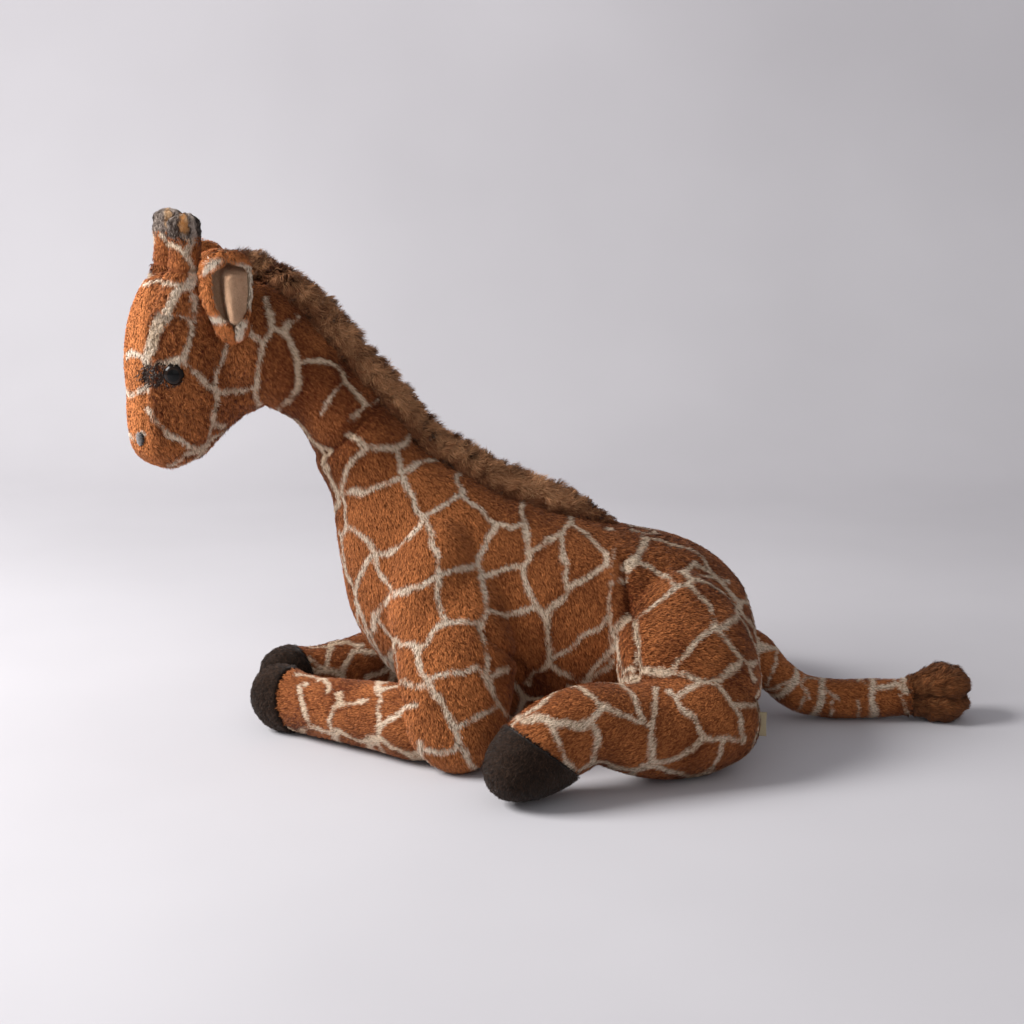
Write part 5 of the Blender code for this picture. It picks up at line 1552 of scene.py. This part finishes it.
def make_ears():
    outer = ear_surface(0.0, False)
    inner = ear_surface(EAR_CLOTH, False)
    lining_back = ear_surface(EAR_CLOTH + 0.0006, True)
    lining_front = ear_surface(EAR_CLOTH + 0.0018, True)
    cream = ear_cream(EAR_ROWS, EAR_TURNS).reshape(-1)
    for side in LEFT_RIGHT:
        flip = np.array((1, 1, 1) if side == "left" else (1, -1, 1))

        def carried(form):
            verts, faces = form
            verts = verts * flip
            return verts @ HEAD_TURN[:3, :3].T + HEAD_TURN[:3, 3], faces

        cloth = raw_object("ear_cloth_" + side, *carried(grid_shell(outer, inner)))
        layer = cloth.data.attributes.new("cream", "FLOAT", "POINT")
        layer.data.foreach_set("value", np.tile(cream, 2).astype(np.float32))
        finish_cloth(cloth, plush_cloth)
        lining = raw_object("ear_lining_cloth_" + side,
                            *carried(grid_shell(lining_back, lining_front)))
        finish_cloth(lining, ear_lining)
        # Pile grows on the outside and on the rim
        places, normals = scatter(cloth.data, EAR_STRANDS, rng)
        local = head_local(places) * flip
        find = kd_tree(outer.reshape(-1, 3)).find
        near = [find(place) for place in local]
        outside = np.array([item[2] for item in near]) < EAR_CLOTH * 0.55
        index = np.array([item[1] for item in near])
        places, normals, index = places[outside], normals[outside], index[outside]
        flow = np.tile((0.1, -0.2 * flip[1], -1.0), (len(places), 1))
        # The ears' pile is painted lighter: painted light
        fur = pile("ear_pile_" + side, places, normals, flow, rng, plush_pile, length=0.0042,
                   ruffle=0.55, cream=cream[index], shade=EAR_SHADE)
        places, normals = scatter(lining.data, EAR_NAP, rng)
        nap = pile("ear_nap_" + side, places, normals, np.tile((0.1, 0, -1.0), (EAR_NAP, 1)), rng,
                   ear_nap, length=0.0013, width=0.0005, ruffle=0.3, cream=np.zeros(EAR_NAP), rise=0.5)
        for piece in (cloth, fur, lining, nap):
            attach(piece, "ear_" + side)
        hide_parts("ear_" + side)
        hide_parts("ear_lining_" + side)


# Face

def make_eyes():
    """A polished dome on each side, with dark lashes before it."""
    body_tree = tree_of([body])
    for side, place in zip(LEFT_RIGHT, EYE_PLACES):
        place = Vector(place)
        normal = body_tree.find_nearest(place)[1]
        place -= normal * EYE_SINK
        across = normal.cross(Vector((0, 0, 1))).normalized()
        up = across.cross(normal).normalized()
        verts, faces, ring = [], [], []
        profile = [(math.sin(turn) * EYE_RADIUS, math.cos(turn) * EYE_BULGE)
                   for turn in np.linspace(0.04, math.pi / 2, EYE_RINGS)]
        profile += [(EYE_RADIUS, -0.002), (EYE_RADIUS * 0.96, -0.004)]
        for radius, lift in profile:
            for turn in np.arange(EYE_SIDES) * 2 * math.pi / EYE_SIDES:
                verts.append(place + normal * lift
                             + (across * math.cos(turn) + up * math.sin(turn)) * radius)
                ring.append(radius / EYE_RADIUS)
        for i in range(len(profile) - 1):
            for j in range(EYE_SIDES):
                k = (j + 1) % EYE_SIDES
                faces.append((i * EYE_SIDES + j, i * EYE_SIDES + k, (i + 1) * EYE_SIDES + k,
                              (i + 1) * EYE_SIDES + j))
        faces.append(tuple(range(EYE_SIDES)))
        faces.append(tuple(range((len(profile) - 1) * EYE_SIDES, len(profile) * EYE_SIDES)))
        eye = raw_object("eye_dome_" + side, verts, faces)
        layer = eye.data.attributes.new("ring", "FLOAT", "POINT")
        layer.data.foreach_set("value", np.array(ring, np.float32))
        finish_cloth(eye, eye_gloss)
        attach(eye, "head")
        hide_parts("eye_" + side)
    near = []
    for _ in range(LASH_STRANDS):
        x = LASH_MIDDLE[0] + rng.normal() * LASH_SPREAD[0]
        y = LASH_MIDDLE[1] + rng.normal() * LASH_SPREAD[1]
        if rng.random() < LASH_RING_SHARE:
            turn = rng.random() * 2 * math.pi
            x = EYE_PIXEL[0] + (LASH_RING + rng.normal() * 0.7) * math.cos(turn)
            y = EYE_PIXEL[1] + (LASH_RING + rng.normal() * 0.7) * math.sin(turn)
        if math.hypot(x - EYE_PIXEL[0], y - EYE_PIXEL[1]) > EYE_CLEAR:
            near.append((x, y))
    roots = on_skin(body_tree, near)
    for side in LEFT_RIGHT:
        places = roots if side == "left" else head_mirror(roots)
        hits = [body_tree.find_nearest(place) for place in places]
        normals = np.array([tuple(hit[1]) for hit in hits])
        flow = np.tile((-0.5, 0, -0.6), (len(places), 1))
        lashes = pile("lashes_" + side, places + normals * 0.0006, normals, flow, rng, lash_fibre,
                      length=0.0033, width=0.00062, ruffle=0.15, wild=0.10,
                      cream=(rng.random(len(places)) < 0.08).astype(float), rise=0.42,
                      tapers=(0, 1, 0.8, 0))
        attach(lashes, "head")
    return body_tree


def make_nostrils(body_tree):
    """Satin stitches laid side by side on the muzzle, paler towards its front as painted light."""
    for side in LEFT_RIGHT:
        lit = 1 if side == "left" else -1
        low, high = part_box("nostril_" + side)
        centre = (Vector(low) + Vector(high)) / 2 + NOSE_SHIFT
        place, normal = body_tree.find_nearest(centre)[:2]
        across = normal.cross(Vector((0, 0, 1))).normalized()
        up = across.cross(normal).normalized()
        verts, faces, tint = [], [], []
        for stitch in range(NOSE_STITCHES):
            share = 2 * (stitch + 0.5) / NOSE_STITCHES - 1
            reach = NOSE_HALF[0] * math.sqrt(1 - share**2) * rng.uniform(0.9, 1.05)
            start = len(verts)
            tone = rng.uniform(0.15, 0.60)
            slant = rng.uniform(-0.0003, 0.0003)
            for step in np.linspace(-1, 1, STITCH_STEPS):
                middle = place + across * reach * step + up * (NOSE_HALF[1] * share + slant * step)
                on, way = body_tree.find_nearest(middle)[:2]
                rise = 0.0012 + 0.0014 * (1 - step**4) * (1 - 0.5 * share**2)
                for turn in np.arange(STITCH_SIDES) * 2 * math.pi / STITCH_SIDES:
                    verts.append(on + way * (rise + 0.0005 * math.sin(turn))
                                 + up * 0.00062 * math.cos(turn))
                    # Painted light: paler on the side towards the front, where the lamp falls
                    tint.append(min(max(tone + 0.42 * step * lit, 0), 1))
            for i in range(STITCH_STEPS - 1):
                low = start + i * STITCH_SIDES
                high = low + STITCH_SIDES
                for j in range(STITCH_SIDES):
                    k = (j + 1) % STITCH_SIDES
                    faces.append((low + j, low + k, high + k, high + j))
            last = start + (STITCH_STEPS - 1) * STITCH_SIDES
            faces.append(tuple(range(start, start + STITCH_SIDES)))
            faces.append(tuple(range(last, last + STITCH_SIDES)))
        nose = raw_object("nostril_stitches_" + side, verts, faces)
        layer = nose.data.attributes.new("tint", "FLOAT", "POINT")
        layer.data.foreach_set("value", np.array(tint, np.float32))
        finish_cloth(nose, nose_thread)
        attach(nose, "head")
        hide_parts("nostril_" + side)


def make_label():
    """A blank tape, lightly bowed, low on the left hind leg."""
    low, high = (Vector(corner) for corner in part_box("label"))
    reach, rise = high.x - low.x, (high.z - low.z) * LABEL_SHARE
    middle = (low.y + high.y) / 2
    verts = []
    for up in np.linspace(0, 1, LABEL_GRID):
        for out in np.linspace(0, 1, LABEL_GRID):
            bow = LABEL_BOW * math.sin(math.pi * up) * out
            verts.append((low.x + reach * out, middle + bow, low.z + rise * up - 0.001 * out))
    starts = [i * LABEL_GRID + j for i in range(LABEL_GRID - 1) for j in range(LABEL_GRID - 1)]
    faces = [(at, at + 1, at + LABEL_GRID + 1, at + LABEL_GRID) for at in starts]
    tape = raw_object("label_tape", verts, faces)
    thick = tape.modifiers.new("tape", "SOLIDIFY")
    thick.thickness = LABEL_THICK
    finish_cloth(tape, label_tape)
    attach(tape, "shank_left")
    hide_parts("label")


def finish_nodes():
    """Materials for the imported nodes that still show."""
    for side in LEFT_RIGHT:
        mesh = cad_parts["eye_washer_" + side].data
        mesh.materials.clear()
        mesh.materials.append(washer_mould)


make_mane()
make_tuft()
make_horn_tips()
make_ears()
make_nostrils(make_eyes())
make_label()
finish_nodes()


# Studio

FLOOR_NEAR = -3.0
FLOOR_HALF = 4.0
WALL_START = 1.0
WALL_BEND = 0.6
WALL_TOP = 4.0
PAPER_DARK, PAPER_LIGHT = srgb(198, 195, 198), srgb(206, 203, 206)
KEY_POWER = 78
FILL_POWER = 5
WORLD_COLOUR = (0.96, 0.96, 1.0, 1)
WORLD_STRENGTH = 0.38


def add_camera():
    data = bpy.data.cameras.new("camera")
    data.lens = CAMERA_LENS
    data.sensor_width = SENSOR
    data.clip_end = 50
    made = bpy.data.objects.new("camera", data)
    bpy.context.scene.collection.objects.link(made)
    made.location = CAMERA_PLACE
    made.rotation_euler = (math.pi / 2 - CAMERA_PITCH, 0, 0)
    bpy.context.scene.camera = made


def add_sweep():
    """A pale floor that bends up into a backdrop."""
    profile = [(FLOOR_NEAR, 0.0), (WALL_START, 0.0)]
    profile += [(WALL_START + WALL_BEND * math.sin(turn), WALL_BEND - WALL_BEND * math.cos(turn))
                for turn in np.linspace(0, math.pi / 2, 16)[1:]]
    profile.append((WALL_START + WALL_BEND, WALL_TOP))
    verts = [(x, y, z) for x in (-FLOOR_HALF, FLOOR_HALF) for y, z in profile]
    count = len(profile)
    faces = [(i, i + 1, count + i + 1, count + i) for i in range(count - 1)]
    made = raw_object("floor", verts, faces)
    paper, tree, base = fabric("paper", Sheen_Weight=0.0, Roughness=0.85)
    place = node(tree, "TexCoord").outputs["Object"]
    cloud = node(tree, "TexNoise", {"Vector": place, "Scale": 2.0, "Detail": 3.0}).outputs["Fac"]
    tone = ramp(tree, cloud, ((0.3, PAPER_DARK), (0.7, PAPER_LIGHT)))
    tree.links.new(tone, base.inputs["Base Color"])
    made.data.materials.append(paper)
    made.data.shade_smooth()


def add_lamp(name, place, target, size, power):
    data = bpy.data.lights.new(name, "AREA")
    data.size = size
    data.energy = power
    made = bpy.data.objects.new(name, data)
    bpy.context.scene.collection.objects.link(made)
    made.location = place
    made.rotation_euler = (Vector(target) - Vector(place)).to_track_quat("-Z", "Y").to_euler()


def add_studio():
    add_camera()
    add_sweep()
    add_lamp("key", (-1.9, -0.35, 1.5), (-0.25, -0.2, 0.1), 1.1, KEY_POWER)
    add_lamp("fill", (0.3, -2.4, 1.4), (0, 0, 0.15), 2.0, FILL_POWER)
    world = bpy.data.worlds.new("studio")
    world.use_nodes = True
    shade = world.node_tree.nodes["Background"]
    shade.inputs["Color"].default_value = WORLD_COLOUR
    shade.inputs["Strength"].default_value = WORLD_STRENGTH
    bpy.context.scene.world = world
    bpy.context.scene.view_settings.view_transform = "Standard"


add_studio()
